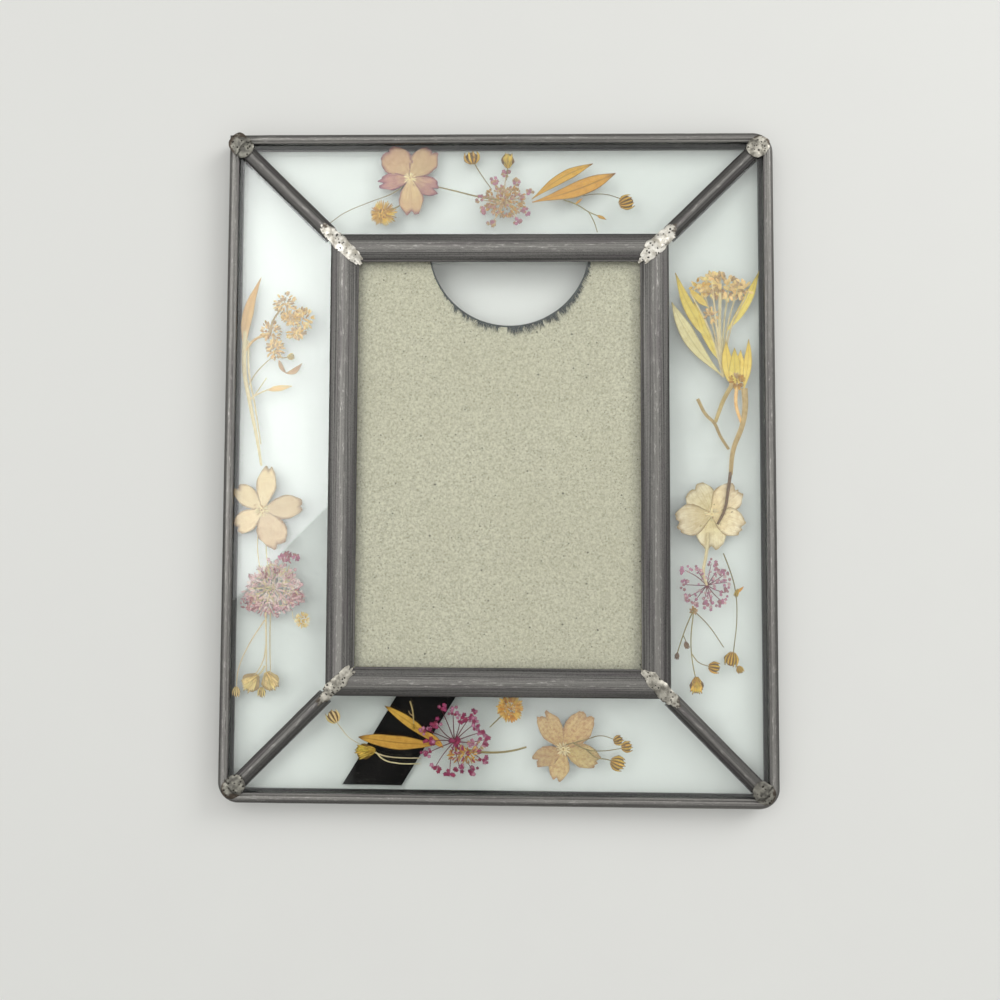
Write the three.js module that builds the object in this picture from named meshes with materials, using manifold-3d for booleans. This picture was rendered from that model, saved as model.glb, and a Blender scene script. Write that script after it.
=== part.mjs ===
// A small leaded-glass picture frame with pressed flowers in its four sloping side panels.
// It lies on its back, front up: X to the right, Y to the top edge, Z out of the front. Millimetres.

import * as THREE from 'three';
import { mergeVertices } from 'three/addons/utils/BufferGeometryUtils.js';
import Module from 'manifold-3d';

const wasm = await Module();
wasm.setup();

// overall size and the slope of the side panels
const FRAME_WIDTH = 114.3;
const FRAME_HEIGHT = 139.7;
const SLOPE = THREE.MathUtils.degToRad(6);

// glass
const PANE_THICKNESS = 1.5;
const FLOWER_GAP = 0.9;
const CENTRE_PANE_THICKNESS = 1.9;

// lead came: the strip that holds the glass edges
const CHANNEL_HALF = 2.1;
const CAME_WALL = 0.7;
const CAME_LIP = 0.45;
const LIP_ROUND = 0.2;
const FLANGE_SHOULDER = 0.65;
const SHOULDER_DROP = 0.08;
const OUTER_FLANGE = 2.3;
const OUTER_WEB = 0.8;
const OUTER_EDGE_RADIUS = 1.2;
const OUTER_CORNER_RADIUS = 4.2;
const LAND_DEPTH = 0.12;
const INNER_INSET = 25.2;
const INNER_FLANGE = 2.85;
const INNER_HEART = 0.5;
const INNER_CROWN = 0.15;
const SLIDE_OUT_STUB = 0.3;
const HIP_FLANGE = 1.57;
const HIP_HEART = 0.4;
const HIP_CROWN = 0.1;
const HIP_START = 5.75;
const HIP_END = 30.9;
const MITRE_GAP = 0.15;

// clearances
const PANE_EDGE_GAP = 0.15;
const PANE_HEART_GAP = 0.35;
const PANE_TIP_TRIM = 4.4;
const SOLDER_GAP = 0.25;

// backing
const BOARD_THICKNESS = 1.2;
const VELVET_THICKNESS = 0.4;
const PHOTO_GAP = 0.45;
const CHANNEL_PLAY = 0.1;
const GLUE_LINE = 0.02;
const NOTCH_CENTRE = new THREE.Vector2(2.2, 45.3);
const NOTCH_RADIUS = 16.7;

// easel leg: it leans from a hinge near the middle to a foot under the bottom panel
const HINGE_POINT = new THREE.Vector3(9.9, -7.4, 2.85);
const LEG_LEAN = THREE.MathUtils.degToRad(31.2);
const LEG_WIDTH = 10.5;
const LEG_THICKNESS = 1.2;
const LEG_LENGTH = 68.8;
const LEG_TAPER_START = 60;
const LEG_TIP_THICKNESS = 0.55;
const LEG_FOOT_HEIGHT = 0.05;
const LEG_CUT_Y = -66.2;
const TAB_LENGTH = 12.4;
const TAB_THICKNESS = 0.8;
const TAB_GAP = 0.1;
const HINGE_SLIT = 0.3;

// values that follow from the ones above
const HALF_WIDTH = FRAME_WIDTH / 2;
const HALF_HEIGHT = FRAME_HEIGHT / 2;
const CAME_HALF = CHANNEL_HALF + CAME_WALL;
const ARC_OFFSET = CAME_HALF - OUTER_EDGE_RADIUS;
const EDGE_U = OUTER_EDGE_RADIUS * (1 - Math.cos(SLOPE)) + ARC_OFFSET * Math.sin(SLOPE);
const EDGE_Z = OUTER_EDGE_RADIUS * (1 - Math.sin(SLOPE)) + ARC_OFFSET * Math.cos(SLOPE) - LAND_DEPTH;
const RISE = Math.tan(SLOPE);
const HEART_Z = EDGE_Z + (INNER_INSET - EDGE_U) * RISE;
const ROOM_HALF_WIDTH = HALF_WIDTH - INNER_INSET - INNER_HEART - SOLDER_GAP;
const ROOM_HALF_HEIGHT = HALF_HEIGHT - INNER_INSET - INNER_HEART - SOLDER_GAP;

// how closely the solids follow their curves, and a height that clears the whole frame
const MERGE_DISTANCE = 1e-4;
const METAL_TOLERANCE = 0.002;
const SOLDER_TOLERANCE = 0.05;
const FLOWER_TOLERANCE = 0.05;
const TALL = 20;

// the sides in plan: how far the edge is from the middle, how long it is, and which way it faces
const SIDES = {
  right: { half: HALF_WIDTH, length: FRAME_HEIGHT, turn: 0 },
  top: { half: HALF_HEIGHT, length: FRAME_WIDTH, turn: Math.PI / 2 },
  left: { half: HALF_WIDTH, length: FRAME_HEIGHT, turn: Math.PI },
  bottom: { half: HALF_HEIGHT, length: FRAME_WIDTH, turn: -Math.PI / 2 },
};

const CORNERS = {
  upper_left: { x: -1, y: 1 },
  upper_right: { x: 1, y: 1 },
  lower_right: { x: 1, y: -1 },
  lower_left: { x: -1, y: -1 },
};

// flowers lie in two thin layers between the panes
const LAYER_THICKNESS = 0.32;
const LAYER_GAP = 0.07;
const UPPER = FLOWER_GAP / 2 - LAYER_GAP - LAYER_THICKNESS;
const LOWER = -FLOWER_GAP / 2 + LAYER_GAP;

const lead = new THREE.MeshStandardMaterial({ color: '#5c5956', roughness: 0.45, metalness: 0.9 });
const solder = new THREE.MeshStandardMaterial({ color: '#b9b7b0', roughness: 0.3, metalness: 1 });
const clearGlass = new THREE.MeshStandardMaterial({ color: '#dfeae6', roughness: 0.05, metalness: 0 });
const chipboard = new THREE.MeshStandardMaterial({ color: '#c3c2aa', roughness: 0.9, metalness: 0 });
const velvet = new THREE.MeshStandardMaterial({ color: '#1b1919', roughness: 1, metalness: 0 });

function dried(color) {
  return new THREE.MeshStandardMaterial({ color, roughness: 0.85, metalness: 0 });
}

const frame = new THREE.Group();

function addMesh(parent, name, geometry, material) {
  const mesh = new THREE.Mesh(geometry, material);
  mesh.name = name;
  parent.add(mesh);
}

// ---- solids ----

function toSolid(geometry) {
  const bare = geometry.clone();
  bare.deleteAttribute('normal');
  bare.deleteAttribute('uv');
  const merged = mergeVertices(bare, MERGE_DISTANCE);
  const vertProperties = new Float32Array(merged.attributes.position.array);
  const triVerts = new Uint32Array(merged.index.array);
  return new wasm.Manifold(new wasm.Mesh({ numProp: 3, vertProperties, triVerts }));
}

function toGeometry(solid, tolerance = METAL_TOLERANCE) {
  const mesh = solid.asOriginal().simplify(tolerance).getMesh();
  const geometry = new THREE.BufferGeometry();
  geometry.setAttribute('position', new THREE.BufferAttribute(mesh.vertProperties, 3));
  geometry.setIndex(new THREE.BufferAttribute(mesh.triVerts, 1));
  geometry.computeVertexNormals();
  return geometry;
}

function joined(geometries) {
  return geometries.map(toSolid).reduce((whole, piece) => whole.add(piece));
}

// a flat shape made solid from z = base up
function plate(points, base, thickness) {
  const shape = new THREE.Shape(points);
  const geometry = new THREE.ExtrudeGeometry(shape, { depth: thickness, bevelEnabled: false });
  geometry.translate(0, 0, base);
  return geometry;
}

function largest(solid) {
  const bodies = solid.decompose();
  return bodies.reduce((best, body) => (body.volume() > best.volume() ? body : best));
}

// ---- came profiles: points (u, z), u is the distance in from the frame's outer edge ----

function onSlope(u0, z0, along, normal) {
  const u = u0 + along * Math.cos(SLOPE) - normal * Math.sin(SLOPE);
  const z = z0 + along * Math.sin(SLOPE) + normal * Math.cos(SLOPE);
  return new THREE.Vector2(u, z);
}

// U-shaped came along the outer edge
function outerProfile(grow) {
  const flange = OUTER_FLANGE + grow;
  const half = CAME_HALF + grow;
  const lip = CHANNEL_HALF + CAME_LIP + grow;
  const radius = OUTER_EDGE_RADIUS + grow;
  const path = new THREE.Path();
  path.moveTo(flange, CHANNEL_HALF);
  path.lineTo(flange, lip);
  path.quadraticCurveTo(flange - LIP_ROUND, half, OUTER_EDGE_RADIUS, half);
  path.absarc(OUTER_EDGE_RADIUS, ARC_OFFSET, radius, Math.PI / 2, Math.PI, false);
  path.absarc(OUTER_EDGE_RADIUS, -ARC_OFFSET, radius, Math.PI, Math.PI * 1.5, false);
  path.lineTo(flange - CAME_LIP, -half);
  path.lineTo(flange, -lip);
  path.lineTo(flange, -CHANNEL_HALF);
  path.lineTo(OUTER_WEB, -CHANNEL_HALF);
  path.lineTo(OUTER_WEB, CHANNEL_HALF);
  return path.getPoints(2).map((p) => onSlope(EDGE_U, EDGE_Z, p.x, p.y));
}

// H-shaped came round the centre: its outer half follows the panels, its inner half is level
function innerProfile(grow, backFlange) {
  const flange = INNER_FLANGE + grow;
  const lip = CHANNEL_HALF + CAME_LIP + grow;
  const crown = CAME_HALF + INNER_CROWN + grow;
  const sloped = (out, normal) => onSlope(INNER_INSET, HEART_Z, -out, normal);
  const level = (inward, normal) => new THREE.Vector2(INNER_INSET + inward, HEART_Z + normal);
  const shoulder = CAME_HALF + grow - SHOULDER_DROP;
  const outline = new THREE.Path();
  outline.moveTo(...sloped(flange, CHANNEL_HALF));
  outline.lineTo(...sloped(flange, lip));
  outline.splineThru([
    sloped(flange * FLANGE_SHOULDER, shoulder),
    level(0, crown),
    level(flange * FLANGE_SHOULDER, shoulder),
    level(flange, lip),
  ]);
  outline.lineTo(...level(flange, CHANNEL_HALF));
  outline.lineTo(...level(INNER_HEART, CHANNEL_HALF));
  outline.lineTo(...level(INNER_HEART, -CHANNEL_HALF));
  outline.lineTo(...level(backFlange + grow, -CHANNEL_HALF));
  outline.lineTo(...level(backFlange + grow, -lip));
  outline.splineThru([
    level(backFlange * FLANGE_SHOULDER, -shoulder),
    level(0, -crown),
    sloped(flange * FLANGE_SHOULDER, -shoulder),
    sloped(flange, -lip),
  ]);
  outline.lineTo(...sloped(flange, -CHANNEL_HALF));
  outline.lineTo(...sloped(INNER_HEART, -CHANNEL_HALF));
  outline.lineTo(...sloped(INNER_HEART, CHANNEL_HALF));
  return outline.getPoints(2);
}

// narrow H-shaped came along a corner diagonal, where both panels fall away from it
function hipProfile(grow) {
  const flange = HIP_FLANGE + grow;
  const fall = RISE / Math.SQRT2;
  const lip = CHANNEL_HALF + CAME_LIP + grow;
  const crown = CAME_HALF + HIP_CROWN + grow;
  const shoulder = CAME_HALF + grow;
  const at = (out, height) => new THREE.Vector2(out, height - Math.abs(out) * fall);
  const outline = new THREE.Path();
  outline.moveTo(...at(-flange, CHANNEL_HALF));
  outline.lineTo(...at(-flange, lip));
  outline.splineThru([
    at(-flange * FLANGE_SHOULDER, shoulder),
    at(0, crown),
    at(flange * FLANGE_SHOULDER, shoulder),
    at(flange, lip),
  ]);
  outline.lineTo(...at(flange, CHANNEL_HALF));
  outline.lineTo(...at(HIP_HEART, CHANNEL_HALF));
  outline.lineTo(...at(HIP_HEART, -CHANNEL_HALF));
  outline.lineTo(...at(flange, -CHANNEL_HALF));
  outline.lineTo(...at(flange, -lip));
  outline.splineThru([
    at(flange * FLANGE_SHOULDER, -shoulder),
    at(0, -crown),
    at(-flange * FLANGE_SHOULDER, -shoulder),
    at(-flange, -lip),
  ]);
  outline.lineTo(...at(-flange, -CHANNEL_HALF));
  outline.lineTo(...at(-HIP_HEART, -CHANNEL_HALF));
  outline.lineTo(...at(-HIP_HEART, CHANNEL_HALF));
  return outline.getPoints(2);
}

// ---- cames ----

// a straight bar of a (u, z) profile along one side, from low to high along that side
function sideBar(side, profile, low, high) {
  const depth = high - low;
  const geometry = new THREE.ExtrudeGeometry(new THREE.Shape(profile), { depth, bevelEnabled: false });
  const inward = new THREE.Vector3(-1, 0, 0);
  const up = new THREE.Vector3(0, 0, 1);
  const along = new THREE.Vector3(0, 1, 0);
  geometry.applyMatrix4(new THREE.Matrix4().makeBasis(inward, up, along));
  geometry.translate(side.half, low, 0);
  geometry.rotateZ(side.turn);
  return geometry;
}

// the wedge of plan between the mitres at a side's two ends
function mitreWedge(side, low, high, mitreLow, mitreHigh) {
  const deep = INNER_INSET + 2 * INNER_FLANGE;
  const points = [
    new THREE.Vector2(side.half + 1, low - mitreLow),
    new THREE.Vector2(side.half + 1, high + mitreHigh),
    new THREE.Vector2(side.half - deep, high - deep * mitreHigh),
    new THREE.Vector2(side.half - deep, low + deep * mitreLow),
  ];
  const wedge = plate(points, -TALL / 2, TALL * 1.5);
  wedge.rotateZ(side.turn);
  return wedge;
}

function bentCorner(corner, profile) {
  const ring = profile.map((p) => new THREE.Vector2(OUTER_CORNER_RADIUS - p.x, p.y)).reverse();
  ring.push(ring[0].clone());
  const x = corner.x * (HALF_WIDTH - OUTER_CORNER_RADIUS);
  const y = corner.y * (HALF_HEIGHT - OUTER_CORNER_RADIUS);
  const size = 2 * OUTER_CORNER_RADIUS;
  const turned = new THREE.LatheGeometry(ring, 24);
  turned.rotateX(Math.PI / 2);
  turned.translate(x, y, 0);
  const quarter = new THREE.BoxGeometry(size, size, TALL);
  quarter.translate(x + corner.x * size / 2, y + corner.y * size / 2, 0);
  return toSolid(turned).intersect(toSolid(quarter));
}

// one strip bent round three corners, its ends mitred together at the upper left, flattened where it rests
function outerCame(grow = 0) {
  const profile = outerProfile(grow);
  const { top, left, bottom, right } = SIDES;
  const shortEnd = HALF_WIDTH - OUTER_CORNER_RADIUS;
  const longEnd = HALF_HEIGHT - OUTER_CORNER_RADIUS;
  const topBar = toSolid(sideBar(top, profile, -shortEnd, HALF_WIDTH));
  const leftBar = toSolid(sideBar(left, profile, -HALF_HEIGHT, longEnd));
  const topWedge = toSolid(mitreWedge(top, -shortEnd, HALF_WIDTH, 0, 1));
  const leftWedge = toSolid(mitreWedge(left, -HALF_HEIGHT, longEnd, 1, 0));
  const aboveTable = new THREE.BoxGeometry(2 * FRAME_WIDTH, 2 * FRAME_HEIGHT, TALL);
  aboveTable.translate(0, 0, TALL / 2);
  return topBar.intersect(topWedge)
    .add(leftBar.intersect(leftWedge))
    .add(toSolid(sideBar(bottom, profile, -shortEnd, shortEnd)))
    .add(toSolid(sideBar(right, profile, -longEnd, longEnd)))
    .add(bentCorner(CORNERS.upper_right, profile))
    .add(bentCorner(CORNERS.lower_right, profile))
    .add(bentCorner(CORNERS.lower_left, profile))
    .intersect(toSolid(aboveTable));
}

// the top bar has no back flange on the inside, so the backing can slide up and out
function innerCame(sideName, grow = 0) {
  const side = SIDES[sideName];
  const backFlange = sideName === 'top' ? INNER_HEART + SLIDE_OUT_STUB : INNER_FLANGE;
  const end = side.length / 2 - MITRE_GAP + grow;
  const bar = toSolid(sideBar(side, innerProfile(grow, backFlange), -side.length / 2, side.length / 2));
  return bar.intersect(toSolid(mitreWedge(side, -end, end, 1, 1)));
}

function hipCame(corner, grow = 0) {
  const depth = HIP_END - HIP_START;
  const shape = new THREE.Shape(hipProfile(grow));
  const geometry = new THREE.ExtrudeGeometry(shape, { depth, bevelEnabled: false });
  const startHeight = EDGE_Z + (HIP_START / Math.SQRT2 - EDGE_U) * RISE;
  const along = new THREE.Vector3(-corner.x, -corner.y, RISE).divideScalar(Math.SQRT2);
  const up = new THREE.Vector3(0, 0, 1);
  const across = new THREE.Vector3().crossVectors(up, along).normalize();
  geometry.applyMatrix4(new THREE.Matrix4().makeBasis(across, up, along));
  const inset = HIP_START / Math.SQRT2;
  geometry.translate(corner.x * (HALF_WIDTH - inset), corner.y * (HALF_HEIGHT - inset), startHeight);
  return toSolid(geometry);
}

// ---- solder ----

const RIPPLE_DEPTH = 0.08;
const RIPPLES_ALONG = 7;
const RIPPLES_ACROSS = 5;

// a lumpy drop along the corner diagonal, resting on the cames
function solderLump(corner, lump) {
  const drop = new THREE.SphereGeometry(1, 10, 6);
  const position = drop.attributes.position;
  const point = new THREE.Vector3();
  for (let i = 0; i < position.count; i += 1) {
    point.fromBufferAttribute(position, i);
    const along = Math.sin(point.x * RIPPLES_ALONG + lump.seed);
    const across = Math.cos(point.y * RIPPLES_ACROSS + lump.seed * 2);
    point.multiplyScalar(1 + RIPPLE_DEPTH * along * across);
    position.setXYZ(i, point.x, point.y, point.z);
  }
  drop.scale(lump.length / 2, lump.width / 2, lump.height);
  drop.rotateZ(Math.atan2(corner.y, corner.x));
  const inset = lump.along / Math.SQRT2;
  const surface = Math.min(EDGE_Z + (inset - EDGE_U) * RISE, HEART_Z) + CAME_HALF;
  drop.translate(corner.x * (HALF_WIDTH - inset), corner.y * (HALF_HEIGHT - inset), surface);
  const above = new THREE.BoxGeometry(FRAME_WIDTH - SOLDER_GAP, FRAME_HEIGHT - SOLDER_GAP, TALL);
  above.translate(0, 0, surface - lump.drape + TALL / 2);
  return toSolid(drop).intersect(toSolid(above));
}

function cutByCames(lump, corner, cames) {
  const clear = cames.reduce((rest, came) => rest.subtract(came), lump);
  return largest(clear.subtract(hipCame(corner, SOLDER_GAP)));
}

const OUTER_LUMP = { along: 5.1, length: 4.6, width: 3.6, height: 0.75, drape: 0.5 };
const SEAM_LUMP = { along: 4.3, length: 6.2, width: 4.6, height: 0.95, drape: 0.5 };
const INNER_LUMP = { along: 34.3, length: 9.6, width: 3.6, height: 1.0, drape: 0.35 };

// ---- glass ----

// a trapezoid pane in plan, its acute tips trimmed to clear the bent corners
function paneOutline(side) {
  const inPlane = (u) => (u - EDGE_U) / Math.cos(SLOPE);
  const hipSide = (HIP_HEART + PANE_HEART_GAP) * Math.SQRT2;
  const innerU = INNER_INSET - INNER_HEART - PANE_HEART_GAP;
  const tipU = PANE_TIP_TRIM - hipSide;
  const pivot = side.half - EDGE_U;
  const tipEnd = side.length / 2 - PANE_TIP_TRIM;
  const innerEnd = side.length / 2 - innerU - hipSide;
  const half = [
    [pivot - OUTER_WEB - PANE_EDGE_GAP, tipEnd],
    [pivot - inPlane(tipU), tipEnd],
    [pivot - inPlane(innerU), innerEnd],
  ];
  const mirrored = half.map(([x, y]) => [x, -y]).reverse();
  const middle = new THREE.Vector2(0, 0);
  return [...half, ...mirrored].map(([x, y]) => new THREE.Vector2(x, y).rotateAround(middle, side.turn));
}

// a group whose children are drawn in plan and then lie on the slope of one side
function slopedGroup(sideName) {
  const side = SIDES[sideName];
  const outward = new THREE.Vector3(Math.cos(side.turn), Math.sin(side.turn), 0);
  const alongEdge = new THREE.Vector3(-outward.y, outward.x, 0);
  const tilted = new THREE.Group();
  tilted.position.copy(outward).multiplyScalar(side.half - EDGE_U);
  tilted.position.z = EDGE_Z;
  tilted.quaternion.setFromAxisAngle(alongEdge, SLOPE);
  const plan = new THREE.Group();
  plan.position.copy(outward).multiplyScalar(-(side.half - EDGE_U));
  tilted.add(plan);
  frame.add(tilted);
  return plan;
}

function addPanel(sideName) {
  const plan = slopedGroup(sideName);
  const outline = paneOutline(SIDES[sideName]);
  const front = plate(outline, FLOWER_GAP / 2, PANE_THICKNESS);
  const back = plate(outline, -FLOWER_GAP / 2 - PANE_THICKNESS, PANE_THICKNESS);
  addMesh(plan, `${sideName}_panel_front_glass`, front, clearGlass);
  addMesh(plan, `${sideName}_panel_back_glass`, back, clearGlass);
  return plan;
}

// ---- centre glass, backing and easel leg ----

function addCentre() {
  const glassTop = HEART_Z + CHANNEL_HALF - CHANNEL_PLAY;
  const pane = new THREE.BoxGeometry(2 * ROOM_HALF_WIDTH, 2 * ROOM_HALF_HEIGHT, CENTRE_PANE_THICKNESS);
  pane.translate(0, 0, glassTop - CENTRE_PANE_THICKNESS / 2);
  addMesh(frame, 'centre_glass', pane, clearGlass);

  const boardBase = glassTop - CENTRE_PANE_THICKNESS - PHOTO_GAP - BOARD_THICKNESS;
  const velvetBase = boardBase - GLUE_LINE - VELVET_THICKNESS;
  addMesh(frame, 'backing_board', plate(notchedOutline(), boardBase, BOARD_THICKNESS), chipboard);
  addMesh(frame, 'velvet_back', plate(notchedOutline(), velvetBase, VELVET_THICKNESS), velvet);
  return velvetBase;
}

// a rectangle with a round thumb notch in its top edge
function notchedOutline() {
  const dip = NOTCH_CENTRE.y - ROOM_HALF_HEIGHT;
  const side = Math.asin(dip / NOTCH_RADIUS);
  const path = new THREE.Path();
  path.moveTo(-ROOM_HALF_WIDTH, -ROOM_HALF_HEIGHT);
  path.lineTo(ROOM_HALF_WIDTH, -ROOM_HALF_HEIGHT);
  path.lineTo(ROOM_HALF_WIDTH, ROOM_HALF_HEIGHT);
  path.absarc(NOTCH_CENTRE.x, NOTCH_CENTRE.y, NOTCH_RADIUS, -side, Math.PI + side, true);
  path.lineTo(-ROOM_HALF_WIDTH, ROOM_HALF_HEIGHT);
  return path.getPoints(12);
}

// drawn pointing along +X from the hinge, then turned to lean from the hinge to the foot
function placeOnLeg(geometry) {
  geometry.rotateZ(-Math.PI / 2 - LEG_LEAN);
  geometry.translate(HINGE_POINT.x, HINGE_POINT.y, 0);
  return geometry;
}

function easelLeg() {
  const hingeBase = HINGE_POINT.z - LEG_THICKNESS;
  const drop = (hingeBase - LEG_FOOT_HEIGHT) / LEG_LENGTH;
  const base = (distance) => hingeBase - drop * distance;
  const reach = LEG_LENGTH + LEG_WIDTH;
  const profile = [
    new THREE.Vector2(HINGE_SLIT, base(HINGE_SLIT)),
    new THREE.Vector2(LEG_LENGTH, LEG_FOOT_HEIGHT),
    new THREE.Vector2(reach, LEG_FOOT_HEIGHT),
    new THREE.Vector2(reach, LEG_FOOT_HEIGHT + LEG_TIP_THICKNESS),
    new THREE.Vector2(LEG_LENGTH, LEG_FOOT_HEIGHT + LEG_TIP_THICKNESS),
    new THREE.Vector2(LEG_TAPER_START, base(LEG_TAPER_START) + LEG_THICKNESS),
    new THREE.Vector2(HINGE_SLIT, base(HINGE_SLIT) + LEG_THICKNESS),
  ];
  const slab = new THREE.ExtrudeGeometry(new THREE.Shape(profile), { depth: LEG_WIDTH, bevelEnabled: false });
  slab.rotateX(Math.PI / 2);
  slab.translate(0, LEG_WIDTH / 2, 0);
  const above = new THREE.BoxGeometry(FRAME_WIDTH, FRAME_HEIGHT, TALL);
  above.translate(0, LEG_CUT_Y + FRAME_HEIGHT / 2, 0);
  return toSolid(placeOnLeg(slab)).intersect(toSolid(above));
}

function easelTab(velvetBase) {
  const tab = new THREE.BoxGeometry(TAB_LENGTH, LEG_WIDTH, TAB_THICKNESS);
  tab.translate(-HINGE_SLIT - TAB_LENGTH / 2, 0, velvetBase - TAB_GAP - TAB_THICKNESS / 2);
  return placeOnLeg(tab);
}

// ---- pressed flowers: flat solids drawn in plan ----

function turnedPlate(points, x, y, degrees) {
  const geometry = plate(points, 0, LAYER_THICKNESS);
  geometry.rotateZ(THREE.MathUtils.degToRad(degrees));
  geometry.translate(x, y, 0);
  return geometry;
}

// one petal from the flower's middle, broad and notched at its end
function petal(x, y, degrees, length, width) {
  const half = width / 2;
  const path = new THREE.Path();
  path.moveTo(-0.3, -0.45);
  path.bezierCurveTo(length * 0.3, -0.5, length * 0.4, -half, length * 0.72, -half);
  path.quadraticCurveTo(length * 1.02, -half * 0.95, length, -half * 0.3);
  path.lineTo(length * 0.92, 0);
  path.lineTo(length, half * 0.35);
  path.quadraticCurveTo(length, half, length * 0.7, half);
  path.bezierCurveTo(length * 0.4, half, length * 0.3, 0.5, -0.3, 0.45);
  return turnedPlate(path.getPoints(3), x, y, degrees);
}

function leaf(x0, y0, x1, y1, width) {
  const length = Math.hypot(x1 - x0, y1 - y0);
  const path = new THREE.Path();
  path.moveTo(0, -0.2);
  path.bezierCurveTo(length * 0.3, -width * 0.65, length * 0.75, -width * 0.6, length, 0);
  path.bezierCurveTo(length * 0.75, width * 0.6, length * 0.3, width * 0.65, 0, 0.2);
  const degrees = THREE.MathUtils.radToDeg(Math.atan2(y1 - y0, x1 - x0));
  return turnedPlate(path.getPoints(4), x0, y0, degrees);
}

// a thin ribbon through hand-placed points
function stem(points, width) {
  const curve = new THREE.SplineCurve(points.map(([x, y]) => new THREE.Vector2(x, y)));
  const steps = (points.length - 1) * 2;
  const nearSide = [];
  const farSide = [];
  for (let i = 0; i <= steps; i += 1) {
    const middle = curve.getPoint(i / steps);
    const ahead = curve.getTangent(i / steps);
    const across = new THREE.Vector2(-ahead.y, ahead.x).multiplyScalar(width / 2);
    nearSide.push(middle.clone().sub(across));
    farSide.push(middle.clone().add(across));
  }
  return plate([...nearSide, ...farSide.reverse()], 0, LAYER_THICKNESS);
}

// a round head with small lobes round its edge
function head(x, y, halfWidth, halfHeight, lobes, depth) {
  const points = [];
  const steps = lobes * 2;
  for (let i = 0; i < steps; i += 1) {
    const angle = (i / steps) * Math.PI * 2;
    const wobble = 1 - depth * (i % 2) - depth * 0.4 * Math.sin(i * 2.3);
    const x0 = Math.cos(angle) * halfWidth * wobble;
    const y0 = Math.sin(angle) * halfHeight * wobble;
    points.push(new THREE.Vector2(x0, y0));
  }
  return turnedPlate(points, x, y, 0);
}

// a fan-shaped or bell-shaped bud that opens along its direction
function bell(x, y, degrees, length, width) {
  const half = width / 2;
  const path = new THREE.Path();
  path.moveTo(0, -0.35);
  path.lineTo(length * 0.45, -half * 0.85);
  path.lineTo(length * 0.85, -half);
  path.lineTo(length * 0.82, -half * 0.35);
  path.lineTo(length, 0);
  path.lineTo(length * 0.82, half * 0.4);
  path.lineTo(length * 0.88, half);
  path.lineTo(length * 0.45, half * 0.85);
  path.lineTo(0, 0.35);
  return turnedPlate(path.getPoints(), x, y, degrees);
}

// a straight thin bar from one point to another
function ray(x0, y0, x1, y1, width) {
  const length = Math.hypot(x1 - x0, y1 - y0);
  const points = [[0, -width / 2], [length, -width / 2], [length, width / 2], [0, width / 2]];
  const degrees = THREE.MathUtils.radToDeg(Math.atan2(y1 - y0, x1 - x0));
  return turnedPlate(points.map(([a, b]) => new THREE.Vector2(a, b)), x0, y0, degrees);
}

// an umbel: thin rays out of one point, each with a six-sided floret at its end
function umbel(x, y, rays, rayWidth, floretSize) {
  return rays.flatMap(([degrees, length]) => {
    const angle = THREE.MathUtils.degToRad(degrees);
    const tipX = x + Math.cos(angle) * length;
    const tipY = y + Math.sin(angle) * length;
    const size = floretSize * (1 + 0.2 * Math.sin(degrees));
    return [ray(x, y, tipX, tipY, rayWidth), head(tipX, tipY, size, size, 3, 0.15)];
  });
}

function addFlower(plan, name, layer, color, pieces) {
  const geometry = toGeometry(joined(pieces), FLOWER_TOLERANCE);
  geometry.translate(0, 0, layer);
  addMesh(plan, name, geometry, dried(color));
}

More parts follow.
